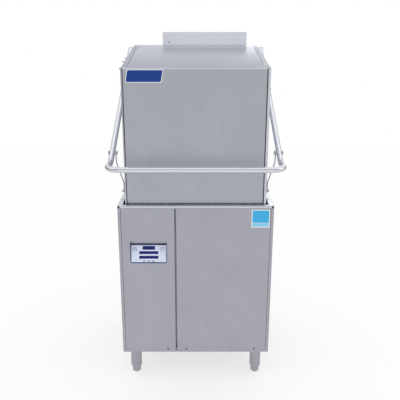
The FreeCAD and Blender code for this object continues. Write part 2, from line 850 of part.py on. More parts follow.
def front_post():
    """Right front post: one sheet folded into door slots on both faces."""
    x = hood_half
    y = hood_front
    outline = [(x - post_face - guide_flange, slot_y), (x - post_face, slot_y), (x - post_face, y), (x, y),
               (x, y + post_side), (flange_x, y + post_side), (flange_x, y + post_side + post_return)]
    post = folded_section(outline, sheet, table_height - post_drop, hood_back_top)
    post = rounded_fold(post, x, y, post_radius, sheet)
    return post.common(below_roof()).fuse(post_spacer(y + post_radius, y + post_side - post_radius))


def rear_post():
    """Right rear post with the slot for the side door."""
    x = hood_half
    y = rear_post_front
    outline = [(flange_x, y - post_return), (flange_x, y), (x, y), (x, hood_back), (x - post_side, hood_back)]
    post = folded_section(outline, sheet, table_height - post_drop, hood_back_top + sheet)
    return post.common(below_roof()).fuse(post_spacer(y + post_radius, hood_back - post_radius))


def post_spacer(y0, y1):
    """Block that joins the foot of a post to the tub wall."""
    z0 = table_height - post_drop
    return box(hood_half, tub_half, y0, y1, z0 + spacer_foot, z0 + spacer_foot + spacer_height)


def hood_top():
    """Sloping roof with turned-down edges."""
    half = flange_x - sheet
    y0 = slot_y + sheet
    y1 = hood_back - 2 * sheet
    outer = roof_prism(half, y0, y1, 0, roof_flange)
    inner = roof_prism(half - sheet, y0 + sheet, y1 - sheet, sheet, roof_flange + 1)
    return outer.cut(inner)


def roof_prism(half, y0, y1, drop, height):
    """Slice that follows the slope of the roof."""
    points = [vec(-half, y0, roof_z(y0) - drop), vec(-half, y1, roof_z(y1) - drop),
              vec(-half, y1, roof_z(y1) - height), vec(-half, y0, roof_z(y0) - height)]
    return prism(points, vec(2 * half, 0, 0))


def hood_back_panel():
    """Back wall of the wash chamber, between the rear posts and into the tub."""
    y1 = hood_back - sheet
    z0 = feed_z + pipe_radius + back_clear
    half = hood_half - sheet
    panel = box(-half, half, y1 - sheet, y1, z0, roof_z(y1) - sheet)
    holes = [lengthwise(x, z, y1 - 2 * sheet, y1 + sheet, radius + seat_gap) for x, z, radius in
             ((rinse_entry_x, rinse_entry_z, rinse_pipe_radius), (0, upper_base + feed_drop, pipe_radius))]
    return cut_all(panel, holes)


def vent_panel():
    """Upright steam deflector on a foot that lies on the roof."""
    y1 = hood_back - 2 * sheet
    y0 = y1 - vent_foot
    z1 = hood_back_top + vent_height
    outline = [(y0, roof_z(y0)), (y1, roof_z(y1)), (y1, z1), (y1 - sheet, z1),
               (y1 - sheet, roof_z(y1 - sheet) + sheet), (y0, roof_z(y0) + sheet)]
    panel = prism([vec(vent_left, y, z) for y, z in outline], vec(vent_width, 0, 0))
    x = vent_left + vent_hole_in
    z = hood_back_top + vent_hole_up
    return panel.cut(lengthwise(x, z, y1 - 2 * sheet, y1 + sheet, vent_hole))


def door_front():
    """Front door: shallow pan with folded edges all round."""
    y0 = hood_front
    y1 = hood_front + door_return
    pan = box(-door_half, door_half, y0, y1, door_bottom, hood_front_top)
    edges = edges_at(pan, x=-door_half, y=y0) + edges_at(pan, x=door_half, y=y0)
    edges += edges_at(pan, y=y0, z=hood_front_top) + edges_at(pan, y=y0, z=door_bottom)
    pan = pan.makeFillet(door_radius, edges)
    inner = door_half - sheet
    hollow = box(-inner, inner, y0 + sheet, y1 + 1, door_bottom + sheet, hood_front_top - sheet)
    edges = edges_at(hollow, x=-inner, y=y0 + sheet) + edges_at(hollow, x=inner, y=y0 + sheet)
    edges += edges_at(hollow, y=y0 + sheet, z=hood_front_top - sheet)
    edges += edges_at(hollow, y=y0 + sheet, z=door_bottom + sheet)
    return pan.cut(hollow.makeFillet(door_radius - sheet, edges))


def side_slice(x0, x1, inset, top):
    """Slice of the side door outline between two X planes."""
    y0 = side_door_front + inset
    y1 = side_door_back - inset
    z0 = door_bottom + inset
    points = [vec(x0, y0, z0), vec(x0, y1, z0), vec(x0, y1, roof_z(y1) - top), vec(x0, y0, roof_z(y0) - top)]
    return prism(points, vec(x1 - x0, 0, 0))


def door_side():
    """Right side door: pan with a sloping top flange and a pad behind the link's foot."""
    x1 = hood_half
    x0 = x1 - door_return
    x2 = x1 - side_top_return
    pan = side_slice(x0, x1, 0, 0)
    pan = pan.makeFillet(door_radius, edges_at(pan, x=x1))
    hollow = side_slice(x0 - 1, x1 - sheet, sheet, sheet)
    hollow = hollow.makeFillet(door_radius - sheet, edges_at(hollow, x=x1 - sheet))
    top_strip = side_slice(x2, x0 + 1, 0, 0).cut(side_slice(x2 - 1, x0 + 2, 0, sheet))
    pad = box(x1, x1 + link_pad, link_foot_y - pad_before, link_foot_y + pad_behind,
              door_bottom + door_radius, link_foot_z + pad_above)
    return fuse([pan.cut(hollow), top_strip, pad])


def door_guides():
    """Plastic strips on which the door edges slide."""
    z0 = door_bottom + guide_foot
    z1 = hood_front_top - guide_end
    x1 = hood_half - post_face - guide_cover
    x2 = hood_half - door_return - fit_gap
    front = box(x1 - guide_width, x1, slot_y - guide_thick, slot_y, z0, z1)
    near = box(flange_x, x2, side_door_front, side_door_front + guide_width, z0, z1)
    far = box(flange_x, x2, side_door_back - guide_width, side_door_back, z0, z1)
    pieces = [front, near, far]
    return Part.makeCompound(pieces + [mirror_x(piece) for piece in pieces])


def door_ties():
    """Corner brackets that make the three doors rise as one, clear of the posts' inner folds."""
    x0 = hood_half - post_face - guide_flange - tie_gap + tie_wall
    y0 = hood_front + sheet
    y1 = hood_front + post_side + post_return + tie_gap
    z0 = door_bottom + tie_rise
    tie = folded_section([(x0, y0), (x0, y1), (hood_half - sheet, y1)], tie_wall, z0, z0 + tie_height)
    return both_sides(tie)


# ---- handle and lift linkage -------------------------------------------------------

def arm_x(y):
    """Centre of the right arm at a given depth."""
    return bar_half - arm_toe_in * (y - arm_bend_y) / (arm_end_y - arm_bend_y)


def arm_end():
    return vec(arm_x(arm_end_y), arm_end_y, arm_end_z)


def handle_points():
    right = [vec(bar_half, bar_y, bar_z), vec(bar_half, arm_bend_y, bar_z), arm_end()]
    left = [vec(-p.x, p.y, p.z) for p in right[::-1]]
    return left + right


def handle_tube():
    """One tube bent round the front and both sides, bored for its pivots."""
    tube = bent_rod(handle_points(), [arm_bend, corner_bend, corner_bend, arm_bend], tube_radius)
    x0 = hood_half
    x1 = bar_half + 2 * tube_radius
    bores = [rod(vec(x0, pivot_y, pivot_z), vec(x1, pivot_y, pivot_z), pivot_pin + 2 * running + bush_wall),
             rod(vec(x0, link_y, link_z), vec(x1, link_y, link_z), link_pin + running)]
    return cut_all(tube, bores + [mirror_x(bore) for bore in bores])


def arm_direction():
    """Unit vector along the right arm, up and back."""
    return vec(-arm_toe_in, arm_end_y - arm_bend_y, arm_end_z - bar_z).normalize()


def arm_end_cap():
    """Disc that closes the rear end of the right arm."""
    return rod(arm_end(), arm_end().add(arm_direction() * end_cap), tube_radius)


def spring_point():
    """Hole in the ear that takes the spring's upper hook."""
    reach = spring_y - pivot_y
    return vec(arm_x(spring_y), spring_y, pivot_z + reach * math.tan(handle_turn() / 2))


def handle_turn():
    """Angle by which the handle turns while the doors rise, in radians."""
    link_length = math.hypot(link_foot_y - link_y, link_z - link_foot_z)
    reach = math.hypot(pivot_y - link_y, pivot_z - link_z)
    start = math.atan2(link_z - pivot_z, pivot_y - link_y)
    low = 0.0
    high = math.radians(60)
    for _ in range(60):
        turn = (low + high) / 2
        y = pivot_y - reach * math.cos(start + turn)
        z = pivot_z + reach * math.sin(start + turn)
        foot = z - math.sqrt(link_length ** 2 - (y - link_foot_y) ** 2)
        if foot - link_foot_z < door_lift:
            low = turn
        else:
            high = turn
    return (low + high) / 2


def spring_ear():
    """Plate welded under the right arm for the spring hook."""
    hook = spring_point()
    x = hook.x - ear_thick / 2
    z = bar_z + (spring_y - arm_bend_y) * arm_slope
    outline = [(-ear_before, z - ear_before * arm_slope), (ear_behind, z + ear_behind * arm_slope),
               (ear_foot, hook.z - ear_shoulder), (0, hook.z - ear_below), (-ear_foot, hook.z - ear_shoulder)]
    ear = prism([vec(x, hook.y + y, height) for y, height in outline], vec(ear_thick, 0, 0))
    ear = ear.cut(rod(vec(bar_half, arm_bend_y, bar_z), arm_end(), tube_radius))
    return ear.cut(rod(vec(x - 1, hook.y, hook.z), vec(x + ear_thick + 1, hook.y, hook.z), ear_hole))


def bush_inner_x():
    return arm_x(pivot_y) - tube_radius - bush_collar


def arm_brackets():
    """Brackets on the rear posts that carry the handle pivots."""
    x0 = hood_half
    x1 = bush_inner_x() - seat_gap
    y = pivot_y - web_thick / 2
    plate = box(x0, x0 + bracket_thick, rear_post_front + fit_gap, hood_back - fit_gap,
                pivot_z - bracket_below, pivot_z + bracket_above)
    boss = rod(vec(x0, pivot_y, pivot_z), vec(x1, pivot_y, pivot_z), pivot_boss)
    outline = [(x0, pivot_z - web_below), (x0 + bracket_thick, pivot_z - web_below),
               (x1 - web_back, pivot_z - web_edge), (x1 - web_back, pivot_z), (x0, pivot_z)]
    web = prism([vec(x, y, z) for x, z in outline], vec(0, web_thick, 0))
    bore = rod(vec(x0 - 1, pivot_y, pivot_z), vec(x1 + 1, pivot_y, pivot_z), pivot_pin)
    return both_sides(fuse([plate, boss, web]).cut(bore))


def arm_pivot_bolts():
    """Pins on which the handle turns, each with a head outside the arm."""
    x1 = arm_x(pivot_y) + tube_radius + bush_past + seat_gap
    pin = rod(vec(hood_half, pivot_y, pivot_z), vec(x1, pivot_y, pivot_z), pivot_pin)
    head = hexagon(vec(x1, pivot_y, pivot_z), pivot_head, vec(pivot_head_height, 0, 0))
    return both_sides(fuse([pin, head]))


def arm_bushes():
    """Plain bearings pressed into the arms at the handle pivots."""
    start = vec(bush_inner_x(), pivot_y, pivot_z)
    end = vec(arm_x(pivot_y) + tube_radius + bush_past, pivot_y, pivot_z)
    inner = pivot_pin + running
    return both_sides(ring(start, end, inner + bush_wall, inner))


def link_x():
    """Middle of the link's upper eye, just inside the arm."""
    return arm_x(link_y) - tube_radius - link_side_gap - link_thick / 2


def link_foot_x():
    return hood_half + link_pad + seat_gap + foot_spacer + link_thick / 2


def lift_link():
    """Right link: a rod with an eye at each end and a joggle towards the door."""
    top = vec(link_x(), link_y, link_z)
    foot = vec(link_foot_x(), link_foot_y, link_foot_z)
    run = foot.sub(top)
    bend_high = vec(top.x, top.y + link_high * run.y, top.z + link_high * run.z)
    bend_low = vec(foot.x, top.y + link_low * run.y, top.z + link_low * run.z)
    inset = link_eye - link_inset
    start = top.add(bend_high.sub(top).normalize() * inset)
    end = foot.add(bend_low.sub(foot).normalize() * inset)
    shank = mitred_rod([start, bend_high, bend_low, end], link_rod)
    half = vec(link_thick / 2, 0, 0)
    eyes = [rod(point.sub(half), point.add(half), link_eye) for point in (top, foot)]
    bores = [rod(point.sub(half * 2), point.add(half * 2), link_pin + running) for point in (top, foot)]
    return cut_all(fuse([shank] + eyes), bores)


def upper_link_bolts():
    """Bolts through the arms that carry the links, with a nut on the inside."""
    x0 = link_x() - link_thick / 2 - link_side_gap
    x1 = arm_x(link_y) + tube_radius + seat_gap
    pin = rod(vec(x0, link_y, link_z), vec(x1, link_y, link_z), link_pin)
    head = hexagon(vec(x1, link_y, link_z), link_head, vec(link_head_height, 0, 0))
    nut = hexagon(vec(x0, link_y, link_z), link_head, vec(-link_head_height, 0, 0))
    return both_sides(fuse([pin, head, nut]))


def lower_link_bolt():
    """Right lower pivot bolt: its inner end stops just clear of the door pad."""
    x0 = hood_half + link_pad + seat_gap
    eye_in = link_foot_x() - link_thick / 2
    eye_out = link_foot_x() + link_thick / 2
    y = link_foot_y
    z = link_foot_z
    spacer = rod(vec(x0, y, z), vec(eye_in, y, z), foot_head / 2)
    pin = rod(vec(eye_in, y, z), vec(eye_out + foot_past, y, z), link_pin)
    head = hexagon(vec(eye_out, y, z), foot_head, vec(link_head_height, 0, 0))
    return fuse([spacer, pin, head])


def lift_spring():
    """Envelope of the right lift spring with the shanks of its two hooks."""
    hook = spring_point()
    x = hook.x
    y = hook.y
    hook_top = hook.z - ear_below - spring_wire / 2
    hook_foot = spring_foot_z + seat_gap
    top = hook_top - spring_hook
    foot = hook_foot + spring_hook
    coil = upright(x, y, foot, top, spring_radius)
    upper = upright(x, y, top, hook_top, spring_wire / 2)
    lower = upright(x, y, hook_foot, foot, spring_wire / 2)
    return fuse([coil, upper, lower])


def spring_rods():
    """Threaded rods that tension the springs, each with an eye for the lower hook."""
    hook = spring_point()
    x = hook.x
    y = hook.y
    eye_z = spring_foot_z - rod_eye
    shank = upright(x, y, anchor_z - rod_below, eye_z - rod_eye / 2, spring_rod)
    eye = ring(vec(x - rod_eye_half, y, eye_z), vec(x + rod_eye_half, y, eye_z), rod_eye, rod_eye / 2)
    nut_low = hexagon(vec(x, y, anchor_z - anchor_thick), rod_nut, vec(0, 0, -rod_nut_height))
    nut_high = hexagon(vec(x, y, anchor_z), rod_nut, vec(0, 0, rod_nut_height))
    return both_sides(fuse([shank, eye, nut_low, nut_high]))


def spring_anchors():
    """Angle brackets on the back of the cabinet for the spring rods."""
    hook = spring_point()
    y0 = rim_depth - panel_rear
    y1 = hook.y + anchor_half
    x1 = hook.x - anchor_half
    x0 = x1 - anchor_thick
    z0 = anchor_z - anchor_height
    plate = box(x0, x1, y0, y1, z0, anchor_z)
    shelf = box(x0, hook.x + anchor_half, hook.y - anchor_half, y1, anchor_z - anchor_thick, anchor_z)
    foot = box(x1 - anchor_foot, x1, y0, y0 + anchor_thick, z0, anchor_z)
    hole = upright(hook.x, hook.y, z0, anchor_z + 1, spring_rod)
    return both_sides(fuse([plate, shelf, foot]).cut(hole))


# ---- wash system -------------------------------------------------------------------

def jet_places(reach):
    """Distances of the jets from the spindle, on both halves of an arm."""
    pitch = (reach - hub_radius) / (jet_count + 1)
    outward = [hub_radius + pitch * (i + 1) for i in range(jet_count)]
    return [-x for x in outward] + outward


def wash_arm(z0, jet_side):
    """Spray arm: tapered flat tube with jet slots in one face and a bored hub."""
    z1 = z0 + arm_height
    middle = (z0 + z1) / 2
    wide = arm_width / 2
    tip = arm_tip_width / 2
    outline = [(-arm_radius, -tip), (0, -wide), (arm_radius, -tip),
               (arm_radius, tip), (0, wide), (-arm_radius, tip)]
    blade = prism([vec(x, chamber_y + y, z0) for x, y in outline], vec(0, 0, arm_height))
    hub = upright(0, chamber_y, middle - hub_height / 2, middle + hub_height / 2, hub_radius)
    face = z1 if jet_side > 0 else z0
    slots = [box(x - jet_half, x + jet_half, chamber_y - jet_reach, chamber_y + jet_reach,
                 face - jet_depth, face + jet_depth) for x in jet_places(arm_radius)]
    bore = upright(0, chamber_y, z0 - hub_height, z1 + hub_height, spindle_radius + running)
    return cut_all(fuse([blade, hub]), slots + [bore])


def rinse_arm(z, jet_side):
    """Rinse arm: square tube with raised jets and a bored hub."""
    half = rinse_tube
    tube = box(-rinse_radius, rinse_radius, chamber_y - half, chamber_y + half, z - half, z + half)
    hub = upright(0, chamber_y, z - rinse_hub_height / 2, z + rinse_hub_height / 2, rinse_hub_radius)
    jets = [hexagon(vec(x, chamber_y, z + jet_side * half), jet_reach, vec(0, 0, jet_side * jet_depth))
            for x in jet_places(rinse_radius)]
    bore = upright(0, chamber_y, z - rinse_hub_height, z + rinse_hub_height, spindle_radius + running)
    return fuse([tube, hub] + jets).cut(bore)


def spindle(base, direction):
    """Fixed spindle with collars between which the two arms turn."""
    def at(distance):
        return vec(0, chamber_y, base + direction * distance)
    shaft = rod(at(0), at(nut_start + spindle_nut), spindle_radius)
    foot = rod(at(0), at(spindle_foot), spindle_radius + spindle_foot_step)
    spacer = rod(at(spacer_start), at(spacer_start + spindle_spacer), spindle_radius + spindle_spacer_step)
    nut = hexagon(at(nut_start), spindle_nut_width, vec(0, 0, direction * spindle_nut))
    return fuse([shaft, foot, spacer, nut])


def wash_pipes():
    """Pipe that rises behind the hood and feeds the hubs above and below the rack."""
    high = upper_base + feed_drop
    upper = [vec(0, chamber_y, upper_base), vec(0, chamber_y, high), vec(0, riser_y, high),
             vec(0, riser_y, feed_z - pipe_below)]
    lower = [vec(0, riser_y, feed_z), vec(0, chamber_y, feed_z), vec(0, chamber_y, lower_base)]
    return fuse([mitred_rod(upper, pipe_radius), mitred_rod(lower, branch_radius)])


def wash_manifold():
    return fuse([wash_pipes(), spindle(lower_base, 1), spindle(upper_base, -1)])


def rinse_manifold():
    """Small pipe that feeds the two rinse arms through the hubs."""
    x = rinse_entry_x
    y = hood_back - rail_inset + rail_wall + fit_gap + seat_gap + rinse_pipe_radius
    high = rinse_entry_z
    points = [vec(0, chamber_y, high - pipe_radius), vec(0, chamber_y, high), vec(x, chamber_y, high),
              vec(x, y, high), vec(x, y, feed_z), vec(x, chamber_y, feed_z), vec(0, chamber_y, feed_z)]
    entry = lengthwise(x, high, y, rinse_riser_y - elbow_radius, rinse_pipe_radius)
    return fuse([mitred_rod(points, rinse_pipe_radius), entry]).cut(wash_pipes())


def rack_rails():
    """Two angle rails on which racks slide from side to side, with their brackets."""
    rails = []
    reach = hood_half - rail_end
    foot = rail_z - 4 * rail_wall
    for wall_y, fence_y, facing in ((tub_front, hood_front + rail_inset, 1),
                                    (hood_back - 2 * sheet, hood_back - rail_inset, -1)):
        flat_foot = rail_z - rail_wall
        pieces = [slab(0, reach, fence_y, fence_y + facing * rail_leg, flat_foot, rail_z),
                  slab(0, reach, fence_y - facing * rail_wall, fence_y, flat_foot, rail_z + rail_fence)]
        inner = fence_y + facing * rail_leg / 2
        for x in (-rail_bracket_x, rail_bracket_x):
            half = rail_bracket_half
            bracket_foot = table_height - rail_bracket_drop
            pieces.append(slab(x, half, wall_y, wall_y + facing * rail_bracket_thick, bracket_foot, foot))
            pieces.append(slab(x, half, wall_y, inner, foot, foot + rail_wall))
            pieces.append(slab(x, half, fence_y, inner, foot, flat_foot))
        rails.append(fuse(pieces))
    return Part.makeCompound(rails)


def slab(x, half, y0, y1, z0, z1):
    """Box centred on X whose two depths may come in either order."""
    return box(x - half, x + half, min(y0, y1), max(y0, y1), z0, z1)


def strainer_pans():
    """Two lift-out strainers over the tub floor, each with rows of slots, and their ledges."""
    y0 = tub_front + strainer_gap
    y1 = tub_back - strainer_rear
    inner = basket_half + basket_gap
    outer = tub_half - strainer_gap
    z1 = strainer_z + strainer_height
    pan = box(inner, outer, y0, y1, strainer_z, z1)
    pan = pan.cut(box(inner + sheet, outer - sheet, y0 + sheet, y1 - sheet, strainer_z + sheet, z1))
    pitch = (y1 - y0 - 2 * strainer_margin) / (strainer_rows - 1)
    slots = []
    for i in range(strainer_rows):
        y = y0 + strainer_margin + i * pitch
        slots.append(box(inner + strainer_border, outer - strainer_border, y - slot_half, y + slot_half,
                         strainer_z, strainer_z + sheet))
    pan = cut_all(pan, slots)
    ledges = [box(-tub_half, tub_half, y, y + ledge_width, strainer_z - ledge_thick, strainer_z)
              for y in (tub_front, y1 - ledge_width + strainer_gap)]
    return Part.makeCompound([pan, mirror_x(pan)] + ledges)


def scrap_basket():
    """Lift-out basket between the strainers, shaped to clear the sloping floor."""
    floor_run = (tub_back - sump_back) * (basket_bottom - sump_top) / tub_slope_depth
    y0 = tub_mid - basket_front
    y1 = sump_back + floor_run - basket_clear
    z1 = strainer_z + strainer_height
    half = basket_half - sheet
    inside = box(-half, half, y0 + sheet, y1 - sheet, basket_bottom + sheet, z1 + 2 * sheet)
    cup = box(-basket_half, basket_half, y0, y1, basket_bottom, z1)
    rim = box(-basket_half - basket_rim, basket_half + basket_rim, y0, y1, z1, z1 + sheet)
    return fuse([cup, rim]).cut(inside)


def overflow_tube():
    """Standing overflow pipe that lifts to empty the tub."""
    seat = sump_bottom + seat_gap
    top = strainer_z - strainer_height
    pipe = upright(drain_x, tub_mid, seat, top, overflow_radius)
    flange = upright(drain_x, tub_mid, seat, seat + overflow_foot, drain_radius + drain_wall)
    bore = upright(drain_x, tub_mid, seat - 1, top + 1, overflow_radius - overflow_wall)
    return fuse([pipe, flange]).cut(bore)


def wash_heater():
    """Hairpin immersion heater in the sump, with its flange outside."""
    y0 = sump_back - sump_depth + heater_front
    points = [vec(heater_left, sump_back, heater_z), vec(heater_left, y0, heater_z),
              vec(heater_right, y0, heater_z), vec(heater_right, sump_back, heater_z)]
    y1 = sump_back + sheet
    flange = box(heater_left - heater_plate, heater_right + heater_plate, y1, y1 + heater_plate_thick,
                 heater_z - heater_plate, heater_z + heater_plate)
    return Part.makeCompound([mitred_rod(eased(points, heater_bend), heater_rod), flange])


def wash_pump():
    """Pump casing with its outlet neck on the left side."""
    casing = upright(pump_x, tub_mid, volute_bottom, volute_top, volute_radius)
    neck = lengthwise(0, outlet_z, tub_mid, neck_end, pump_neck)
    return fuse([casing, neck])


def wash_motor():
    """Upright pump motor with cooling ribs, on a foot plate across the frame rails."""
    body = upright(pump_x, tub_mid, rail_top, volute_bottom, motor_radius)
    ribs = []
    for i in range(motor_ribs):
        angle = 2 * math.pi * (i + 0.5) / motor_ribs
        x = pump_x + motor_radius * math.cos(angle)
        y = tub_mid + motor_radius * math.sin(angle)
        ribs.append(box(x - rib_half, x + rib_half, y - rib_half, y + rib_half,
                        rail_top + rib_end, volute_bottom - rib_end))
    plate = box(pump_x - motor_plate_half, pump_x + motor_plate_half, front_rail_y - cross_rail_half,
                rear_rail_y + cross_rail_half, rail_top, rail_top + motor_plate_thick)
    return fuse([body, plate] + ribs)


def pump_hoses():
    """Short suction hose, and the discharge hose to the wash manifold."""
    suction = upright(pump_x, tub_mid, volute_top, sump_bottom - sheet, hose_radius)
    points = [vec(0, neck_end, outlet_z), vec(0, riser_y, outlet_z), vec(0, riser_y, feed_z - pipe_below)]
    return Part.makeCompound([suction, mitred_rod(eased(points, discharge_bend), discharge_radius)])


def booster_tank():
    """Water heater for the hot rinse, on two bearers across the frame."""
    foot = vec(booster_x, booster_y, booster_bottom)
    top = vec(booster_x, booster_y, booster_bottom + booster_height)
    cap = rod(top, top.add(vec(0, 0, booster_cap)), booster_radius / 2)
    bearers = [box(x - bearer_half, x + bearer_half, rear_rail_y - cross_rail_half, frame_back - angle_wall,
                   rail_top, booster_bottom)
               for x in (booster_x - bearer_spread, booster_x + bearer_spread)]
    return fuse([rod(foot, top, booster_radius), cap] + bearers)


def drain_pipe():
    """Drain from the sump to the outlet at the back."""
    top = sump_bottom - sheet
    y1 = rim_depth + drain_past
    points = [vec(drain_x, tub_mid, top), vec(drain_x, tub_mid, drain_z), vec(drain_x, y1, drain_z)]
    pipe = mitred_rod(eased(points, drain_bend), drain_radius)
    collar = upright(drain_x, tub_mid, top - drain_collar, top, drain_radius + drain_wall)
    bore = lengthwise(drain_x, drain_z, y1 - drain_bore, y1 + 1, drain_radius - drain_wall)
    return fuse([pipe, collar]).cut(bore)


def rinse_valve():
    """Solenoid valve on the hot water inlet, joined to the booster."""
    x = inlet_x
    z = inlet_z
    y1 = rim_depth + inlet_past
    pipe = lengthwise(x, z, booster_y, y1, inlet_radius)
    top = z + valve_rise
    middle = y1 - (valve_near + valve_far) / 2
    body = box(x - valve_half, x + valve_half, y1 - valve_far, y1 - valve_near, z - valve_rise, top)
    coil = box(x - coil_half, x + coil_half, middle - coil_half, middle + coil_half, top, top + coil_height)
    tank = upright(booster_x, booster_y, z - valve_far, top, booster_radius)
    bore = lengthwise(x, z, y1 - inlet_depth, y1 + 1, inlet_bore)
    return fuse([pipe, body, coil]).cut(tank).cut(bore)


def rinse_riser():
    """Outside pipe from the rear deck to the hood, with a vacuum breaker on top."""
    def at(z):
        return vec(rinse_entry_x, rinse_riser_y, z)
    elbow_top = rinse_entry_z + elbow_radius
    pipe = rod(at(table_height), at(rinse_entry_z), rinse_pipe_radius)
    base = rod(at(table_height), at(table_height + riser_base), 2 * rinse_pipe_radius)
    elbow = rod(at(rinse_entry_z - elbow_radius), at(elbow_top), elbow_radius)
    breaker = rod(at(elbow_top), at(elbow_top + breaker_height), breaker_radius)
    return fuse([pipe, base, elbow, breaker])


def power_gland():
    """Cable gland in the back panel, with no cable."""
    y = rim_depth - panel_rear
    start = vec(power_x, y - gland_inside, power_z)
    end = vec(power_x, y + gland_past, power_z)
    nut = hexagon(vec(power_x, y, power_z), gland_nut, vec(0, gland_past / 2, 0))
    return fuse([rod(start, end, gland_radius), nut]).cut(rod(start, end, gland_bore))


def door_switch():
    """Reed switch on the inner fold of the left front post, near the roof."""
    y = hood_front + post_side + post_return / 2
    z = roof_z(y) - switch_drop
    x = sheet - flange_x
    return box(x, x + switch_thick, y - switch_half, y + switch_half, z, z + switch_height)


def door_magnet():
    """Magnet on the inside of the left door, just behind the reed switch."""
    y = hood_front + post_side + post_return + switch_half
    z = roof_z(y) - switch_drop
    x = sheet - hood_half
    return box(x, x + magnet_thick, y - switch_half, y + switch_half, z, z + magnet_height)


def all_parts():
    parts = {
        "base_frame": base_frame(),
        "leg_sleeves": leg_sleeves(),
        "levelling_feet": feet(),
        "wash_tub": tub(),
        "side_panel_right": side_panel(),
        "side_panel_left": mirror_x(side_panel()),
        "front_panel_left": front_panel_left(),
        "front_panel_right": front_panel_right(),
        "rear_panel": rear_panel(),
        "panel_screws": panel_screws(),
        "control_bezel": control_bezel(),
        "keypad": keypad(),
        "power_key": membrane_key(key_places()[0]),
        "start_key": membrane_key(key_places()[1]),
        "display_windows": display_windows(),
        "control_box": control_box(),
        "hood_posts": both_sides(Part.makeCompound([front_post(), rear_post()])),
        "hood_top": hood_top(),
        "hood_back": hood_back_panel(),
        "vent_panel": vent_panel(),
        "door_front": door_front(),
        "door_right": door_side(),
        "door_left": mirror_x(door_side()),
        "door_guides": door_guides(),
        "door_ties": door_ties(),
        "handle_tube": handle_tube(),
        "arm_end_caps": both_sides(arm_end_cap()),
        "spring_ears": both_sides(spring_ear()),
        "arm_brackets": arm_brackets(),
        "arm_pivot_bolts": arm_pivot_bolts(),
        "arm_bushes": arm_bushes(),
        "lift_link_right": lift_link(),
        "lift_link_left": mirror_x(lift_link()),
        "upper_link_bolts": upper_link_bolts(),
        "lower_link_bolt_right": lower_link_bolt(),
        "lower_link_bolt_left": mirror_x(lower_link_bolt()),
        "lift_springs": both_sides(lift_spring()),
        "spring_rods": spring_rods(),
        "spring_anchors": spring_anchors(),
        "lower_wash_arm": wash_arm(lower_arm_z, 1),
        "upper_wash_arm": wash_arm(upper_arm_z - arm_height, -1),
        "lower_rinse_arm": rinse_arm(lower_base + rinse_hub_middle, 1),
        "upper_rinse_arm": rinse_arm(upper_base - rinse_hub_middle, -1),
        "wash_manifold": wash_manifold(),
        "rinse_manifold": rinse_manifold(),
        "rack_rails": rack_rails(),
        "strainer_pans": strainer_pans(),
        "scrap_basket": scrap_basket(),
        "overflow_tube": overflow_tube(),
        "wash_heater": wash_heater(),
        "wash_pump": wash_pump(),
        "wash_motor": wash_motor(),
        "pump_hoses": pump_hoses(),
        "booster_tank": booster_tank(),
        "rinse_valve": rinse_valve(),
        "rinse_riser": rinse_riser(),
        "drain_pipe": drain_pipe(),
        "power_gland": power_gland(),
        "door_switch": door_switch(),
        "door_magnet": door_magnet(),
    }
    return parts


def main():
    parts = all_parts()
    boxes = [shape.optimalBoundingBox(False, False) for shape in parts.values()]
    middle = (min(b.YMin for b in boxes) + max(b.YMax for b in boxes)) / 2
    os.makedirs("parts", exist_ok=True)
    for name, shape in parts.items():
        placed = shape.translated(vec(0, -middle, 0))
        placed.exportStep("parts/" + name + ".step")
    print("middle", middle, "turn", math.degrees(handle_turn()), "pivot", pivot_z, "link", link_z)


main()
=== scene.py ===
"""Finish of an upright door-type dishwasher: sheet steel, tube, springs, films and small fasteners."""
import math
import bmesh
import bpy
from bpy.props import FloatProperty, FloatVectorProperty, IntProperty, PointerProperty
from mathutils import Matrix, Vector


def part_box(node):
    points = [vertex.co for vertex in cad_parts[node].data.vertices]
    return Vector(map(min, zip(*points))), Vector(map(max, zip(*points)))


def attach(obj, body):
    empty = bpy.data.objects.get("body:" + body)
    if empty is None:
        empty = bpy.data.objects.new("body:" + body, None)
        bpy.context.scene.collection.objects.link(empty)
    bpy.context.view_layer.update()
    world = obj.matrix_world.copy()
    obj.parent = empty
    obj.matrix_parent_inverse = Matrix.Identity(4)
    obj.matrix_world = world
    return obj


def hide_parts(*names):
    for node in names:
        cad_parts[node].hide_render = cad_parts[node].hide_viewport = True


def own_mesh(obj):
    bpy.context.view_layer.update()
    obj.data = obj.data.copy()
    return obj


bl_info = {
    "name": "Door Dishwasher Finish",
    "version": (1, 0, 0),
    "blender": (4, 5, 0),
    "location": "3D View > Sidebar > Dishwasher",
    "description": "Adds finishes, springs, films and fasteners to a door-type dishwasher",
    "category": "Object",
}

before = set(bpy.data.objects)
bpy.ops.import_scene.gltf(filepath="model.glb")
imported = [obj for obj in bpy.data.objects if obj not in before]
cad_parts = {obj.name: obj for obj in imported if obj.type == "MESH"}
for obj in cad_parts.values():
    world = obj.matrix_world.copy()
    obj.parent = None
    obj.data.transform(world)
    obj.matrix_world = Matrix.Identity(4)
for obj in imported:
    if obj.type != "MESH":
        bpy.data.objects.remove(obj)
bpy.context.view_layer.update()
MM = 0.001
TOUCH = 0.01 * MM  # points closer than this are one point
RIM_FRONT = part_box("wash_tub")[0].y


def at(x, y, z):
    """Place given in millimetres: x from the middle, y from the front edge of the rim, z from the floor."""
    return Vector((x * MM, RIM_FRONT + y * MM, z * MM))


def linear(code):
    """Turns an sRGB hex value into the linear colour that the shaders use."""
    channels = [int(code[i:i + 2], 16) / 255 for i in (1, 3, 5)]
    curve = [c / 12.92 if c <= 0.04045 else ((c + 0.055) / 1.055) ** 2.4 for c in channels]
    return (*curve, 1.0)


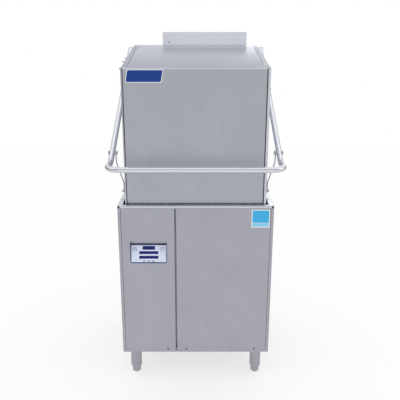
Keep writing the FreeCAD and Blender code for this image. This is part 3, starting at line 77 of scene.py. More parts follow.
def add_node(tree, kind, settings=None, inputs=None):
    """Adds a node, sets its options and fills or links its inputs.

    A node given as an input stands for its first output.
    """
    made = tree.nodes.new(kind)
    for name, value in (settings or {}).items():
        setattr(made, name, value)
    for name, value in (inputs or {}).items():
        value = value.outputs[0] if isinstance(value, bpy.types.Node) else value
        if isinstance(value, bpy.types.NodeSocket):
            tree.links.new(value, made.inputs[name])
        else:
            made.inputs[name].default_value = value
    return made


# ---- settings --------------------------------------------------------------------

def length(name, default, description):
    """Length that a user may change, given in millimetres."""
    return FloatProperty(name=name, default=default * MM, description=description, unit="LENGTH")


def number(name, default, description, subtype="NONE"):
    """Plain number, share or angle that a user may change."""
    return FloatProperty(name=name, default=default, description=description, subtype=subtype)


def count(name, default, description):
    """Whole number that a user may change."""
    return IntProperty(name=name, default=default, description=description)


class StageSettings(bpy.types.PropertyGroup):
    camera_distance: length("Camera distance", 2184, "From the front edge of the tub rim to the camera")
    camera_height: length("Camera height", 1530, "Height of the camera above the floor")
    camera_tilt: number("Camera tilt", math.radians(16.3), "How far the camera looks down", "ANGLE")
    lens: number("Lens", 47.1, "Focal length in millimetres")
    frame_shift: number("Frame shift", 0.01075, "Sideways shift of the picture, in picture widths")
    sky_level: number("Sky level", 1.0, "Even light from all round")
    front_level: number("Front level", 0.75, "Brightness of the side behind the camera, as metal mirrors it")
    left_level: number("Left level", 0.36, "Brightness of the left side, as metal mirrors it")
    right_level: number("Right level", 0.6, "Brightness of the right side, as metal mirrors it")
    band_level: number("Band level", 0.47, "Brightness of the dark band high in front, which tubes mirror")
    back_level: number("Back level", 0.95, "Brightness of the side behind the machine, as metal mirrors it")
    floor_white: number("Floor white", 0.7, "Share of the floor's shadow that is washed out to white", "FACTOR")
    floor_mirror: number("Floor mirror", 0.6, "Brightness of the floor under the machine, as metal mirrors it")
    floor_width: length("Floor width", 9000, "Width of the floor")
    floor_near: length("Near floor", 180, "Floor in front of the rim that metal mirrors as white")
    floor_before: length("Floor in front", 4500, "Floor in front of the rim")
    floor_behind: length("Floor behind", 6000, "Floor behind the rim's front edge")


class SheetSettings(bpy.types.PropertyGroup):
    edge: length("Edge rounding", 0.5, "Rounding of the deburred sheet edges")
    segments: count("Segments", 2, "Faces across each rounded edge")
    door_over: length("Door over", 6, "How far the door skin reaches over the left post")
    post_cut: length("Post cut", 5, "How much narrower the left post is")
    roof_over: length("Roof over", 1.1, "How much further the roof sheet reaches at each side")
    bead: length("Bead", 2.4, "Radius of the rolled top edge of the door")
    ledge: length("Ledge", 22, "Depth of the drip ledge under the door")
    ledge_below: length("Ledge below", 4, "Drip ledge below the door's bottom edge")
    # The pile seals are dark strips that paint the shade in the gaps beside the door.
    seal: length("Seal", 2.6, "Width of the pile seals beside the door")
    cap_gap: length("Cap gap", 2, "From the roof's side to a post cap")
    cap_width: length("Cap width", 20.8, "Width of the post caps")
    cap_start: length("Cap start", 17.5, "From the door's face to the front post caps")
    front_cap: length("Front cap", 29.5, "Length of the front post caps")
    rear_cap: length("Rear cap", 44, "Length of the rear post caps")
    cap_over: length("Cap over", 1.5, "How far the rear post caps pass the roof's rear edge")
    # The plug is a black disc that paints the shade inside the vent's hole.
    plug: length("Plug", 3.2, "Radius of the plug in the vent")
    plug_side: length("Plug side", 31, "Plug from the vent's left edge")
    plug_down: length("Plug down", 48, "Plug below the vent's top edge")


class HandleSettings(bpy.types.PropertyGroup):
    tube_radius: length("Tube radius", 12.7, "Outside radius of the handle tube")
    corner_bend: length("Corner bend", 62, "Radius of the two front corners")
    arm_bend: length("Arm bend", 75, "Radius where each arm turns up")
    bend_place: length("Place of the arm bend", 80, "Arm bend behind the front edge of the rim")
    toe_in: length("Toe-in", 27, "How far each arm leans inwards at its rear end")
    sag: length("Sag", 3.3, "How far the front bar hangs down")
    end_place: length("Place of the arm end", 742, "Rear end of each arm behind the front edge of the rim")
    end_height: length("Height of the arm end", 1519, "Rear end of each arm above the floor")


class SpringSettings(bpy.types.PropertyGroup):
    wire: length("Wire", 3.5, "Thickness of the spring wire")
    turns: count("Turns", 60, "Turns of each spring")
    hook_radius: length("Hook radius", 8, "Middle radius of the two hooks")
    end_space: length("End space", 14, "From the ends of the coil to the ends of the plain shanks")
    hole_above: length("Upper hole", 13.75, "Hole for the upper hook above the upper shank's end")
    hole_radius: length("Upper hole radius", 5, "Radius of the hole for the upper hook")
    eye_radius: length("Eye radius", 9, "Outside radius of the rod's eye")
    eye_bore: length("Eye bore", 4.5, "Inside radius of the rod's eye")
    travel: length("Travel", 102.4, "How much shorter each spring is when the doors are up")


class ScrewSettings(bpy.types.PropertyGroup):
    head_radius: length("Head radius", 4.5, "Radius of the panel screw heads")
    head_height: length("Head height", 2, "Height of the panel screw heads")
    small_radius: length("Small head radius", 3.2, "Radius of the hood's screw heads")
    side_height: length("Side head height", 6, "Height of the screw heads on the sides of the hood")
    beside_seam: length("Beside the seam", 43.5, "Middle front screw from the seam")
    rear_side: length("Rear side", 14, "Rear panel screws from its sides")
    rear_end: length("Rear end", 18, "Rear panel screws from its top and bottom")
    rear_rows: count("Rear rows", 4, "Rows of screws on the rear panel")
    recess: number("Recess", 0.6, "Width of the cross recess as a share of the head", "FACTOR")


class BadgeSettings(bpy.types.PropertyGroup):
    width: length("Width", 152, "Width of the badge")
    height: length("Height", 54, "Height of the badge")
    lean: length("Lean", 8.5, "How far the top leans to the right")
    left: length("Left", 3.0, "From the left edge of the door")
    top: length("Top", 3.0, "From the top of the door")
    border: length("Border", 3.4, "Width of the pale border")
    corner: length("Corner", 8, "Radius of the corners")
    thick: length("Thickness", 1.6, "Thickness of the badge")


class LabelSettings(bpy.types.PropertyGroup):
    width: length("Width", 80, "Width of the film label")
    height: length("Height", 82, "Height of the film label")
    right: length("Right", 4.5, "From the right edge of the panel")
    top: length("Top", 6.5, "From the top of the panel")
    border: length("Border", 3.4, "Width of the white border")
    strip: length("Strip", 17, "Height of the paler strip along the bottom")


class KeypadSettings(bpy.types.PropertyGroup):
    rise: length("Rise", 84, "Upright height of the keypad")
    setback: length("Setback", 22, "How far the keypad's top lies behind its bottom")
    border: length("Border", 3.6, "Width of the printed border")
    # The black seal is a strip of painted shade for the dark gap along the top of the keypad's recess.
    seal: length("Seal", 3.2, "Height of the black seal along the top")
    line: length("Line", 1.2, "Width of the printed lines")
    key_half: length("Key half width", 8, "Half the width of a key")
    key_up: length("Key height", 62.1, "Middle of the keys above the bottom edge")
    key_print: length("Key print", 0.68, "Print on the keys above the keypad's face")
    symbol_up: length("Symbol height", 7.8, "Middle of the small symbols above the bottom edge")
    symbol_stretch: number("Symbol stretch", 1.5, "Width over height of the symbols")


# ---- materials --------------------------------------------------------------------

PATTERN_MIDDLE = (0.3, 0.7)  # a noise seldom leaves this range


def new_material(name, metallic=0.0):
    """Material with a Principled shader; returns the material, its tree and the shader."""
    material = bpy.data.materials.new(name)
    material.use_nodes = True
    tree = material.node_tree
    shader = tree.nodes["Principled BSDF"]
    shader.inputs["Metallic"].default_value = metallic
    return material, tree, shader


def in_cells(tree, sizes):
    """Object coordinates counted in pattern cells, where sizes are a cell's x, y and z in millimetres."""
    coords = add_node(tree, "ShaderNodeTexCoord")
    cells = tuple(1 / (size * MM) for size in sizes)
    cell = add_node(tree, "ShaderNodeMapping", inputs={"Vector": coords.outputs["Object"], "Scale": cells})
    return cell


def vary(tree, shader, pattern, colours, roughness=None, relief=None):
    """Runs the colour between two values as the pattern rises.

    Where they are given, so do the roughness and the relief: a strength, and a depth in millimetres.
    """
    ramp = add_node(tree, "ShaderNodeValToRGB", inputs={"Fac": pattern})
    for stop, place, colour in zip(ramp.color_ramp.elements, PATTERN_MIDDLE, colours):
        stop.position = place
        stop.color = colour
    tree.links.new(ramp.outputs["Color"], shader.inputs["Base Color"])
    if roughness:
        low, high = PATTERN_MIDDLE
        sheen = add_node(tree, "ShaderNodeMapRange",
                         inputs={"Value": pattern, "From Min": low, "From Max": high,
                                 "To Min": roughness[0], "To Max": roughness[1]})
        tree.links.new(sheen.outputs["Result"], shader.inputs["Roughness"])
    if relief:
        strength, depth = relief
        bump = add_node(tree, "ShaderNodeBump",
                        inputs={"Height": pattern, "Strength": strength, "Distance": depth * MM})
        tree.links.new(bump.outputs["Normal"], shader.inputs["Normal"])


def brushed_sheet(name, light, dark, rough, along, crown=0.0):
    """Number 4 stainless: abrasive-belt lines run one way, so highlights smear across them.

    The belt leaves lines about 0.1 mm apart; they are drawn 0.9 mm apart so that they show. Wiping leaves faint
    patches a hand wide. A crown is how many millimetres the sheet falls away towards its front edge, where the
    fold has drawn it down.
    """
    line_gap, line_length, patch = 0.9, 70, 160
    patch_share, spread, depth = 0.28, 0.05, 0.2
    material, tree, shader = new_material(name, 1.0)
    sizes = [line_gap] * 3
    sizes["xyz".index(along)] = line_length
    grain = add_node(tree, "ShaderNodeTexNoise",
                     inputs={"Vector": in_cells(tree, sizes), "Scale": 1.0, "Detail": 3.0, "Roughness": 0.7})
    wiped = add_node(tree, "ShaderNodeTexNoise",
                     inputs={"Vector": in_cells(tree, [patch] * 3), "Scale": 1.0, "Detail": 3.0})
    part = add_node(tree, "ShaderNodeMath", {"operation": "MULTIPLY"},
                    {0: wiped.outputs["Fac"], 1: patch_share})
    mixed = add_node(tree, "ShaderNodeMath", {"operation": "MULTIPLY_ADD"},
                     {0: grain.outputs["Fac"], 1: 1 - patch_share, 2: part})
    vary(tree, shader, mixed, (dark, light), (rough + spread, rough - spread))
    lines = add_node(tree, "ShaderNodeBump",
                     inputs={"Height": grain.outputs["Fac"], "Strength": 0.1, "Distance": depth * MM})
    if crown:
        coords = add_node(tree, "ShaderNodeTexCoord").outputs["Object"]
        place = add_node(tree, "ShaderNodeSeparateXYZ", inputs={"Vector": coords})
        low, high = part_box("hood_top")
        before = add_node(tree, "ShaderNodeMapRange",
                          inputs={"Value": place.outputs["Y"], "From Min": low.y, "From Max": high.y,
                                  "To Min": 1.0, "To Max": 0.0})
        fall = add_node(tree, "ShaderNodeMath", {"operation": "POWER"}, {0: before, 1: 2.0})
        height = add_node(tree, "ShaderNodeMath", {"operation": "SUBTRACT"}, {0: 1.0, 1: fall})
        curve = add_node(tree, "ShaderNodeBump",
                         inputs={"Height": height, "Strength": 1.0, "Distance": crown * MM})
        tree.links.new(curve.outputs["Normal"], lines.inputs["Normal"])
    tree.links.new(lines.outputs["Normal"], shader.inputs["Normal"])
    return material


def grained(name, light, dark, rough, grain, strength, detail, spread, depth, metallic):
    """Surface with an even grain, in millimetres, that its shade, gloss and relief follow."""
    material, tree, shader = new_material(name, metallic)
    pattern = add_node(tree, "ShaderNodeTexNoise",
                       inputs={"Vector": in_cells(tree, [grain] * 3), "Scale": 1.0, "Detail": detail})
    vary(tree, shader, pattern.outputs["Fac"], (dark, light), (rough + spread, rough - spread),
         (strength, grain * depth))
    return material, shader


def metal(name, light, dark, rough, grain, strength=0.1, detail=2.0):
    """Bare or plated metal: tinted mirror, blurred by the marks of how it was made."""
    return grained(name, light, dark, rough, grain, strength, detail, 0.06, 0.3, 1.0)[0]


def plastic(name, light, dark, rough, grain, strength=0.15, specular=0.5):
    """Moulded or printed plastic: even colour under a soft sheen, with the texture of its tool or film."""
    material, shader = grained(name, light, dark, rough, grain, strength, 2.0, 0.05, 0.2, 0.0)
    shader.inputs["Specular IOR Level"].default_value = specular
    return material


def galvanised(name):
    """Hot-dip zinc on folded steel: crystals 14 mm across, each with its own shade and gloss."""
    crystal = 14
    material, tree, shader = new_material(name, 1.0)
    cells = add_node(tree, "ShaderNodeTexVoronoi",
                     inputs={"Vector": in_cells(tree, [crystal] * 3), "Scale": 1.0})
    shade = add_node(tree, "ShaderNodeSeparateColor", inputs={"Color": cells.outputs["Color"]}).outputs[0]
    vary(tree, shader, shade, (linear("#9A9FA3"), linear("#B9BDC0")), (0.42, 0.58))
    return material


def threaded(name):
    """Rolled thread on zinc-plated bar, 2.5 mm apart so that it shows: bright crests of painted highlight over
    dark roots of painted shade.
    """
    pitch, one_band = 2.5, 0.3183  # the wave makes one band for each cell at this scale
    material, tree, shader = new_material(name, 1.0)
    wave = add_node(tree, "ShaderNodeTexWave", {"bands_direction": "Z"},
                    {"Vector": in_cells(tree, [pitch] * 3), "Scale": one_band, "Distortion": 0.0})
    # Dark roots and bright crests: painted shade and painted highlight along the thread.
    vary(tree, shader, wave.outputs["Fac"], (linear("#7E8082"), linear("#C9CACD")), relief=(0.8, 0.6))
    shader.inputs["Roughness"].default_value = 0.32
    return material


FINISHES = {
    # Sheet steel. Doors: upright belt lines smear each highlight into a soft tall streak.
    "brushed_upright": (brushed_sheet, "Brushed stainless, upright grain", "#CCCFD9", "#C0C3CC", 0.42, "z"),
    # Cabinet panels: the same grain as the doors, a shade warmer and flatter; the darker, warmer tone is
    # painted shade.
    "brushed_panel": (brushed_sheet, "Brushed stainless, cabinet panels", "#C9CAD4", "#BCBDC7", 0.40, "z"),
    # Roof: lines run across, so the light fades in level bands towards the front fold.
    "brushed_across": (brushed_sheet, "Brushed stainless, grain across", "#DCDEE9", "#CFD1DD", 0.31, "x", 30.0),
    # Posts, vent, drip ledge and the door's rolled top edge: brighter and smoother than the doors, with clearer
    # reflections; on the rolled edge the brighter base is painted highlight.
    "bright_sheet": (brushed_sheet, "Bright annealed stainless sheet", "#EEF0F9", "#E2E4EE", 0.30, "x"),
    # Tub: drawn bright sheet, whose walls mirror one another softly.
    "tub_steel": (brushed_sheet, "Pressed stainless tub", "#E9EBF4", "#DCDEE8", 0.30, "x"),
    # Handle and arms: ground tube, nearly a mirror, with sharp bright and dark lines along it.
    "tube": (metal, "Ground stainless tube", "#F3F5FB", "#E9EBF3", 0.11, 1.2, 0.02),
    # Legs: die-cast skin, satin and faintly pitted.
    "legs": (metal, "Satin die-cast legs", "#CDCDD6", "#BDBDC6", 0.36, 1.5, 0.2),
    # Frame: zinc crystals that show as dull and bright patches.
    "zinc": (galvanised, "Galvanised steel"),
    # Bolts and links: turned faces with a quick, slightly broken glint.
    "machined": (metal, "Machined stainless", "#D0D0D4", "#B9B9BE", 0.28, 0.8, 0.1),
    # Screws: greyer than the sheet, painted shade that makes them read as small dark dots.
    "screw": (metal, "Passivated steel screws", "#8B8C92", "#6C6D73", 0.34, 0.8, 0.1),
    # Spring rods: bright crests of painted highlight over dark roots of painted shade give fine rings.
    "thread": (threaded, "Rolled thread"),
    # Springs: dull zinc on drawn wire, with one thin glint along each turn.
    "spring_wire": (metal, "Zinc-plated spring wire", "#B4B6B9", "#94969A", 0.30, 0.6, 0.1),
    # Keypad: matt printed film that scatters light evenly, in flat inks.
    "film": (plastic, "Printed polyester film", "#DAE2F3", "#D4DCEE", 0.45, 0.7),
    "blue_ink": (plastic, "Blue screen ink", "#34408A", "#2F3A80", 0.45, 0.7),
    "pale_ink": (plastic, "Pale blue screen ink", "#46569A", "#415192", 0.45, 0.7),
    # Display windows: dark tinted film with little sheen.
    "window": (plastic, "Tinted display window", "#1B1E78", "#171A6C", 0.34, 3.0, 0.02, 0.2),
    # Badge: pale lacquered edge round a smooth dome of deep colour.
    "badge_edge": (plastic, "Lacquered badge border", "#DDE2EE", "#D6DBE8", 0.35, 1.5),
    "badge_blue": (plastic, "Blue domed resin", "#133E8A", "#113981", 0.24, 6.0, 0.02, 0.25),
    # Label: vinyl film and its prints, even and slightly waxy.
    "label_white": (plastic, "White vinyl film", "#F1F5F8", "#E9EEF2", 0.40, 1.5),
    "label_blue": (plastic, "Sky blue vinyl print", "#35B0E4", "#31AAE0", 0.40, 1.5),
    "label_pale": (plastic, "Pale blue vinyl print", "#8ACDEA", "#84C8E7", 0.40, 1.5),
    # Door guides and bushes: waxy, slightly yellow plastic with no sharp highlight.
    "guide": (plastic, "Slippery polyethylene", "#ECEBE5", "#E2E1DA", 0.5, 2.0),
    # Caps, gland and plugs: near-black with a grey sheen; on the vent's plug the black is painted shade for its
    # hole.
    "nylon": (plastic, "Moulded black nylon", "#1D1D1F", "#141416", 0.48, 0.8),
    # Pump: sand-cast skin, rough and uneven.
    "casting": (metal, "Cast pump casing", "#8E9092", "#747678", 0.5, 2.2, 0.5, 4.0),
    # Motor: sprayed enamel, glossy over a faint orange peel.
    "enamel": (plastic, "Motor enamel", "#2C343E", "#262D36", 0.32, 3.5),
    # Hoses, and the black strip of painted shade along the keypad's top: dead black that hardly shines.
    "rubber": (plastic, "Moulded rubber hose", "#161616", "#101010", 0.66, 1.6, 0.3),
    # Door gap strips: dark grey pile beside the door, painted shade for the dark line of each gap.
    "pile": (plastic, "Grey nylon pile seal", "#4E4F55", "#3C3D42", 0.8, 1.2, 0.4, 0.2),
    # Valve: warm yellow metal with turning marks.
    "brass": (metal, "Machined brass", "#D3AE62", "#B78E4A", 0.30, 3.0, 0.1),
    # Riser: drawn copper, clouded where hands and heat have dulled it.
    "copper": (metal, "Drawn copper pipe", "#D0946C", "#B07250", 0.32, 12.0, 0.05, 3.0),
}

DEFAULT_FINISH = "brushed_upright"
NODES_OF_FINISH = {
    "zinc": "base_frame control_box",
    "legs": "leg_sleeves levelling_feet",
    "tub_steel": "wash_tub",
    "brushed_panel": "front_panel_left front_panel_right side_panel_left side_panel_right",
    "brushed_across": "hood_top",
    "bright_sheet": "hood_posts vent_panel",
    "film": "keypad power_key start_key",
    "window": "display_windows",
    "guide": "door_guides arm_bushes overflow_tube",
    "tube": "handle_tube lower_rinse_arm upper_rinse_arm wash_manifold rinse_manifold",
    "nylon": "arm_end_caps drain_pipe power_gland door_switch door_magnet",
    "machined": "panel_screws arm_pivot_bolts upper_link_bolts lower_link_bolt_left lower_link_bolt_right "
                "lift_link_left lift_link_right spring_ears wash_heater",
    "spring_wire": "lift_springs",
    "thread": "spring_rods",
    "casting": "wash_pump",
    "enamel": "wash_motor",
    "rubber": "pump_hoses",
    "brass": "rinse_valve",
    "copper": "rinse_riser",
}
FINISH_OF_NODE = {node: name for name, nodes in NODES_OF_FINISH.items() for node in nodes.split()}
made_materials = {}


def colour(label, finish_name):
    """Colour that a user may change, of the lighter tone of a finish."""
    return FloatVectorProperty(name=label, description=FINISHES[finish_name][1], subtype="COLOR", size=4, min=0,
                               max=1, default=linear(FINISHES[finish_name][2]))


class ColourSettings(bpy.types.PropertyGroup):
    brushed_upright: colour("Doors", "brushed_upright")
    brushed_panel: colour("Cabinet panels", "brushed_panel")
    brushed_across: colour("Roof", "brushed_across")
    tube: colour("Handle", "tube")
    badge_blue: colour("Badge", "badge_blue")
    label_blue: colour("Label", "label_blue")
    film: colour("Keypad film", "film")
    blue_ink: colour("Keypad print", "blue_ink")


def finish(name):
    """The material with this name, made when it is first asked for."""
    if name not in made_materials:
        recipe, label, *values = FINISHES[name]
        if values:
            light, dark = (linear(code) for code in values[:2])
            chosen = getattr(bpy.context.scene.dishwasher_colours, name, light)
            tint = [new / max(old, 1e-6) for new, old in zip(chosen, light)]
            values[:2] = tuple(chosen), tuple(tone * share for tone, share in zip(dark, tint))
        made_materials[name] = recipe(label, *values)
    return made_materials[name]


# ---- making pieces -------------------------------------------------------------------

def new_piece(name, mesh, material=None):
    """Object for a mesh that already stands in its place, or for a lamp or a camera."""
    piece = bpy.data.objects.new(name, mesh)
    bpy.context.collection.objects.link(piece)
    if material:
        mesh.materials.clear()
        mesh.materials.append(finish(material))
    return piece


def put(bm, name, body, material=None, replaced=None):
    """Turns a bmesh into a piece that rides on a body and may stand for a construction piece."""
    mesh = bpy.data.meshes.new(name)
    bm.to_mesh(mesh)
    bm.free()
    piece = new_piece(name, mesh, material)
    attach(piece, body)
    if replaced:
        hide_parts(replaced)


def merged_copy(node):
    """Copy of a construction piece's mesh, with its loose triangles joined."""
    bm = bmesh.new()
    bm.from_mesh(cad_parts[node].data)
    bmesh.ops.remove_doubles(bm, verts=bm.verts, dist=TOUCH)
    return bm


def arc(radius, start, end, steps=14):
    """Points along an arc between two angles in degrees."""
    turns = [math.radians(start + (end - start) * i / steps) for i in range(steps + 1)]
    return [(radius * math.cos(t), radius * math.sin(t)) for t in turns]


def path_mesh(name, points, values=None):
    """Open line of points, with a number for each point where values are given."""
    mesh = bpy.data.meshes.new(name)
    mesh.from_pydata(points, [(i, i + 1) for i in range(len(points) - 1)], [])
    if values:
        mesh.attributes.new("bend", "FLOAT", "POINT").data.foreach_set("value", values)
    return mesh


def new_tree(name, floats, whole=()):
    """Geometry Nodes tree with named inputs; returns the tree, its input node and its output node."""
    tree = bpy.data.node_groups.new(name, "GeometryNodeTree")
    inputs = {"Geometry": ["Geometry"], "Float": floats, "Int": whole, "Material": ["Material"]}
    for kind, labels in inputs.items():
        for label in labels:
            tree.interface.new_socket(label, in_out="INPUT", socket_type="NodeSocket" + kind)
    tree.interface.new_socket("Geometry", in_out="OUTPUT", socket_type="NodeSocketGeometry")
    return tree, add_node(tree, "NodeGroupInput"), add_node(tree, "NodeGroupOutput")


def end_tree(tree, geometry, given, result):
    """Ends a tree with real geometry in its material."""
    real = add_node(tree, "GeometryNodeRealizeInstances", inputs={"Geometry": geometry})
    painted = add_node(tree, "GeometryNodeSetMaterial",
                       inputs={"Geometry": real, "Material": given.outputs["Material"]})
    tree.links.new(painted.outputs[0], result.inputs["Geometry"])


def grow(name, base, tree, values):
    """Runs a tree on a base mesh and returns the result as a piece with a plain mesh."""
    piece = new_piece(name, base)
    modifier = piece.modifiers.new("shape", "NODES")
    modifier.node_group = tree
    for item in tree.interface.items_tree:
        if item.in_out == "INPUT" and item.name in values:
            modifier[item.identifier] = values[item.name]
    graph = bpy.context.evaluated_depsgraph_get()
    mesh = bpy.data.meshes.new_from_object(piece.evaluated_get(graph))
    piece.modifiers.remove(modifier)
    piece.data = mesh
    if not mesh.polygons:
        raise RuntimeError(name + " came out empty")
    return piece


def tube_tree(name, bent=False):
    """Round tube or wire along a path; a bent one turns each corner by the radius stored there."""
    tree, given, result = new_tree(name, ["Radius"], ["Sides", "Bend steps"] if bent else ["Sides"])
    line = add_node(tree, "GeometryNodeMeshToCurve", inputs={"Mesh": given.outputs["Geometry"]})
    if bent:
        bend = add_node(tree, "GeometryNodeInputNamedAttribute", {"data_type": "FLOAT"}, {"Name": "bend"})
        line = add_node(tree, "GeometryNodeFilletCurve", {"mode": "POLY"},
                        {"Curve": line, "Count": given.outputs["Bend steps"],
                         "Radius": bend.outputs["Attribute"]})
    ring = add_node(tree, "GeometryNodeCurvePrimitiveCircle",
                    inputs={"Resolution": given.outputs["Sides"], "Radius": given.outputs["Radius"]})
    tube = add_node(tree, "GeometryNodeCurveToMesh",
                    inputs={"Curve": line, "Profile Curve": ring, "Fill Caps": True})
    smooth = add_node(tree, "GeometryNodeSetShadeSmooth", inputs={"Geometry": tube})
    end_tree(tree, smooth, given, result)
    return tree


def screw_tree():
    """Tapered screw heads with a cross recess, one on each point, facing the way stored there."""
    top_share, slot_share, sides = 0.72, 0.22, 24
    tree, given, result = new_tree("Screw heads", ["Head radius", "Head height", "Recess"])
    radius = given.outputs["Head radius"]
    height = given.outputs["Head height"]
    crown = add_node(tree, "ShaderNodeMath", {"operation": "MULTIPLY"}, {0: radius, 1: top_share})
    head = add_node(tree, "GeometryNodeMeshCone",
                    inputs={"Vertices": sides, "Radius Top": crown, "Radius Bottom": radius, "Depth": height})
    half_arm = add_node(tree, "ShaderNodeMath", {"operation": "MULTIPLY"},
                        {0: radius, 1: given.outputs["Recess"]})
    arm = add_node(tree, "ShaderNodeMath", {"operation": "MULTIPLY"}, {0: half_arm, 1: 2.0})
    slot = add_node(tree, "ShaderNodeMath", {"operation": "MULTIPLY"}, {0: arm, 1: slot_share})
    lift = add_node(tree, "ShaderNodeCombineXYZ", inputs={"Z": height})
    cut = add_node(tree, "GeometryNodeMeshBoolean", {"operation": "DIFFERENCE"}, {"Mesh 1": head})
    for x, y in ((arm, slot), (slot, arm)):
        size = add_node(tree, "ShaderNodeCombineXYZ", inputs={"X": x, "Y": y, "Z": height})
        block = add_node(tree, "GeometryNodeMeshCube", inputs={"Size": size})
        bar = add_node(tree, "GeometryNodeTransform", inputs={"Geometry": block, "Translation": lift})
        tree.links.new(bar.outputs[0], cut.inputs["Mesh 2"])
    facing = add_node(tree, "GeometryNodeInputNamedAttribute", {"data_type": "FLOAT_VECTOR"},
                      {"Name": "facing"})
    turned = add_node(tree, "FunctionNodeAlignRotationToVector", {"axis": "Z"},
                      {"Vector": facing.outputs["Attribute"]})
    placed = add_node(tree, "GeometryNodeInstanceOnPoints",
                      inputs={"Points": given.outputs["Geometry"], "Instance": cut, "Rotation": turned})
    end_tree(tree, placed, given, result)
    return tree


def screws(name, places, radius, height, recess, body):
    """Screw heads at (place, facing) pairs on one body."""
    mesh = bpy.data.meshes.new(name)
    mesh.from_pydata([place for place, facing in places], [], [])
    mesh.attributes.new("facing", "FLOAT_VECTOR", "POINT").data.foreach_set(
        "vector", [value for place, facing in places for value in facing])
    piece = grow(name, mesh, screw_tree(), {"Head radius": radius, "Head height": height, "Recess": recess,
                                            "Material": finish("screw")})
    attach(piece, body)
    return piece


def rounded_outline(width, height, corner, lean=0.0, steps=6):
    """Outline of a plate with round corners, whose top may lean to the right, from its lower left corner."""
    outline = []
    for cx, cz, start in ((width - corner, corner, -90), (width - corner, height - corner, 0),
                          (corner, height - corner, 90), (corner, corner, 180)):
        for i in range(steps + 1):
            turn = math.radians(start + 90 * i / steps)
            x = cx + corner * math.cos(turn)
            z = cz + corner * math.sin(turn)
            outline.append((x + lean * z / height, z))
    return outline


def rectangle(width, height):
    """Outline of a plain plate, from its lower left corner."""
    return [(0, 0), (width, 0), (width, height), (0, height)]


def plate(name, outline, place, thick, material, body, edge=0.0):
    """Plate parallel to the front, its back at the given place, with its front edge rounded."""
    bm = bmesh.new()
    back = [bm.verts.new(place + Vector((x, 0, z))) for x, z in outline]
    face = bm.faces.new(back)
    front = bmesh.ops.extrude_face_region(bm, geom=[face])["geom"]
    moved = [item for item in front if isinstance(item, bmesh.types.BMVert)]
    bmesh.ops.translate(bm, verts=moved, vec=(0, -thick, 0))
    if edge:
        y = min(v.co.y for v in bm.verts)
        rim = [e for e in bm.edges if all(abs(v.co.y - y) < TOUCH for v in e.verts)]
        bmesh.ops.bevel(bm, geom=rim, offset=edge, segments=3, profile=0.5, affect="EDGES")
    bmesh.ops.recalc_face_normals(bm, faces=bm.faces)
    put(bm, name, body, material)


# ---- stage ---------------------------------------------------------------------------

class DISHWASHER_OT_stage(bpy.types.Operator):
    """Make the floor, the lamps, the surroundings and the camera"""
    bl_idname = "dishwasher.stage"
    bl_label = "Stage"

    def execute(self, context):
        settings = context.scene.dishwasher_stage
        make_floor(settings)
        make_surroundings(context.scene, settings)
        make_lamps()
        make_camera(context.scene, settings)
        return {"FINISHED"}


def make_floor(settings):
    """White floor in two strips: metal mirrors the strip in front as dimly as the room behind the camera."""
    half = settings.floor_width / 2
    edges = [RIM_FRONT + y for y in (-settings.floor_before, -settings.floor_near, settings.floor_behind)]
    # The last value is how far the mirrored strip glows instead of showing the shadow on it.
    for name, y0, y1, mirrored, even in (("floor_front", edges[0], edges[1], settings.front_level, 1.0),
                                         ("floor_rear", edges[1], edges[2], settings.floor_mirror, 0.8)):
        mesh = bpy.data.meshes.new(name)
        mesh.from_pydata([(-half, y0, 0), (half, y0, 0), (half, y1, 0), (-half, y1, 0)], [], [(0, 1, 2, 3)])
        floor = new_piece(name, mesh)
        material, tree, shader = new_material("Plain white " + name.replace("_", ", "))
        for socket, value in (("Base Color", linear("#FDFDFD")), ("Roughness", 0.9),
                              ("Specular IOR Level", 0.0)):
            shader.inputs[socket].default_value = value
        path = add_node(tree, "ShaderNodeLightPath")
        seen = add_node(tree, "ShaderNodeMath", {"operation": "ADD"},
                        {0: path.outputs["Is Camera Ray"], 1: path.outputs["Is Transmission Ray"]})
        clear = add_node(tree, "ShaderNodeMath", {"operation": "MULTIPLY"},
                         {0: seen, 1: settings.floor_white})
        share = add_node(tree, "ShaderNodeMath", {"operation": "MULTIPLY_ADD"},
                         {0: path.outputs["Is Glossy Ray"], 1: even, 2: clear})
        level = add_node(tree, "ShaderNodeMix", {"data_type": "FLOAT"},
                         {"Factor": path.outputs["Is Glossy Ray"], "A": 1.0, "B": mirrored})
        glow = add_node(tree, "ShaderNodeEmission", inputs={"Color": (1, 1, 1, 1), "Strength": level})
        mixed = add_node(tree, "ShaderNodeMixShader", inputs={0: share, 1: shader, 2: glow})
        tree.links.new(mixed.outputs[0], tree.nodes["Material Output"].inputs["Surface"])
        mesh.materials.append(material)


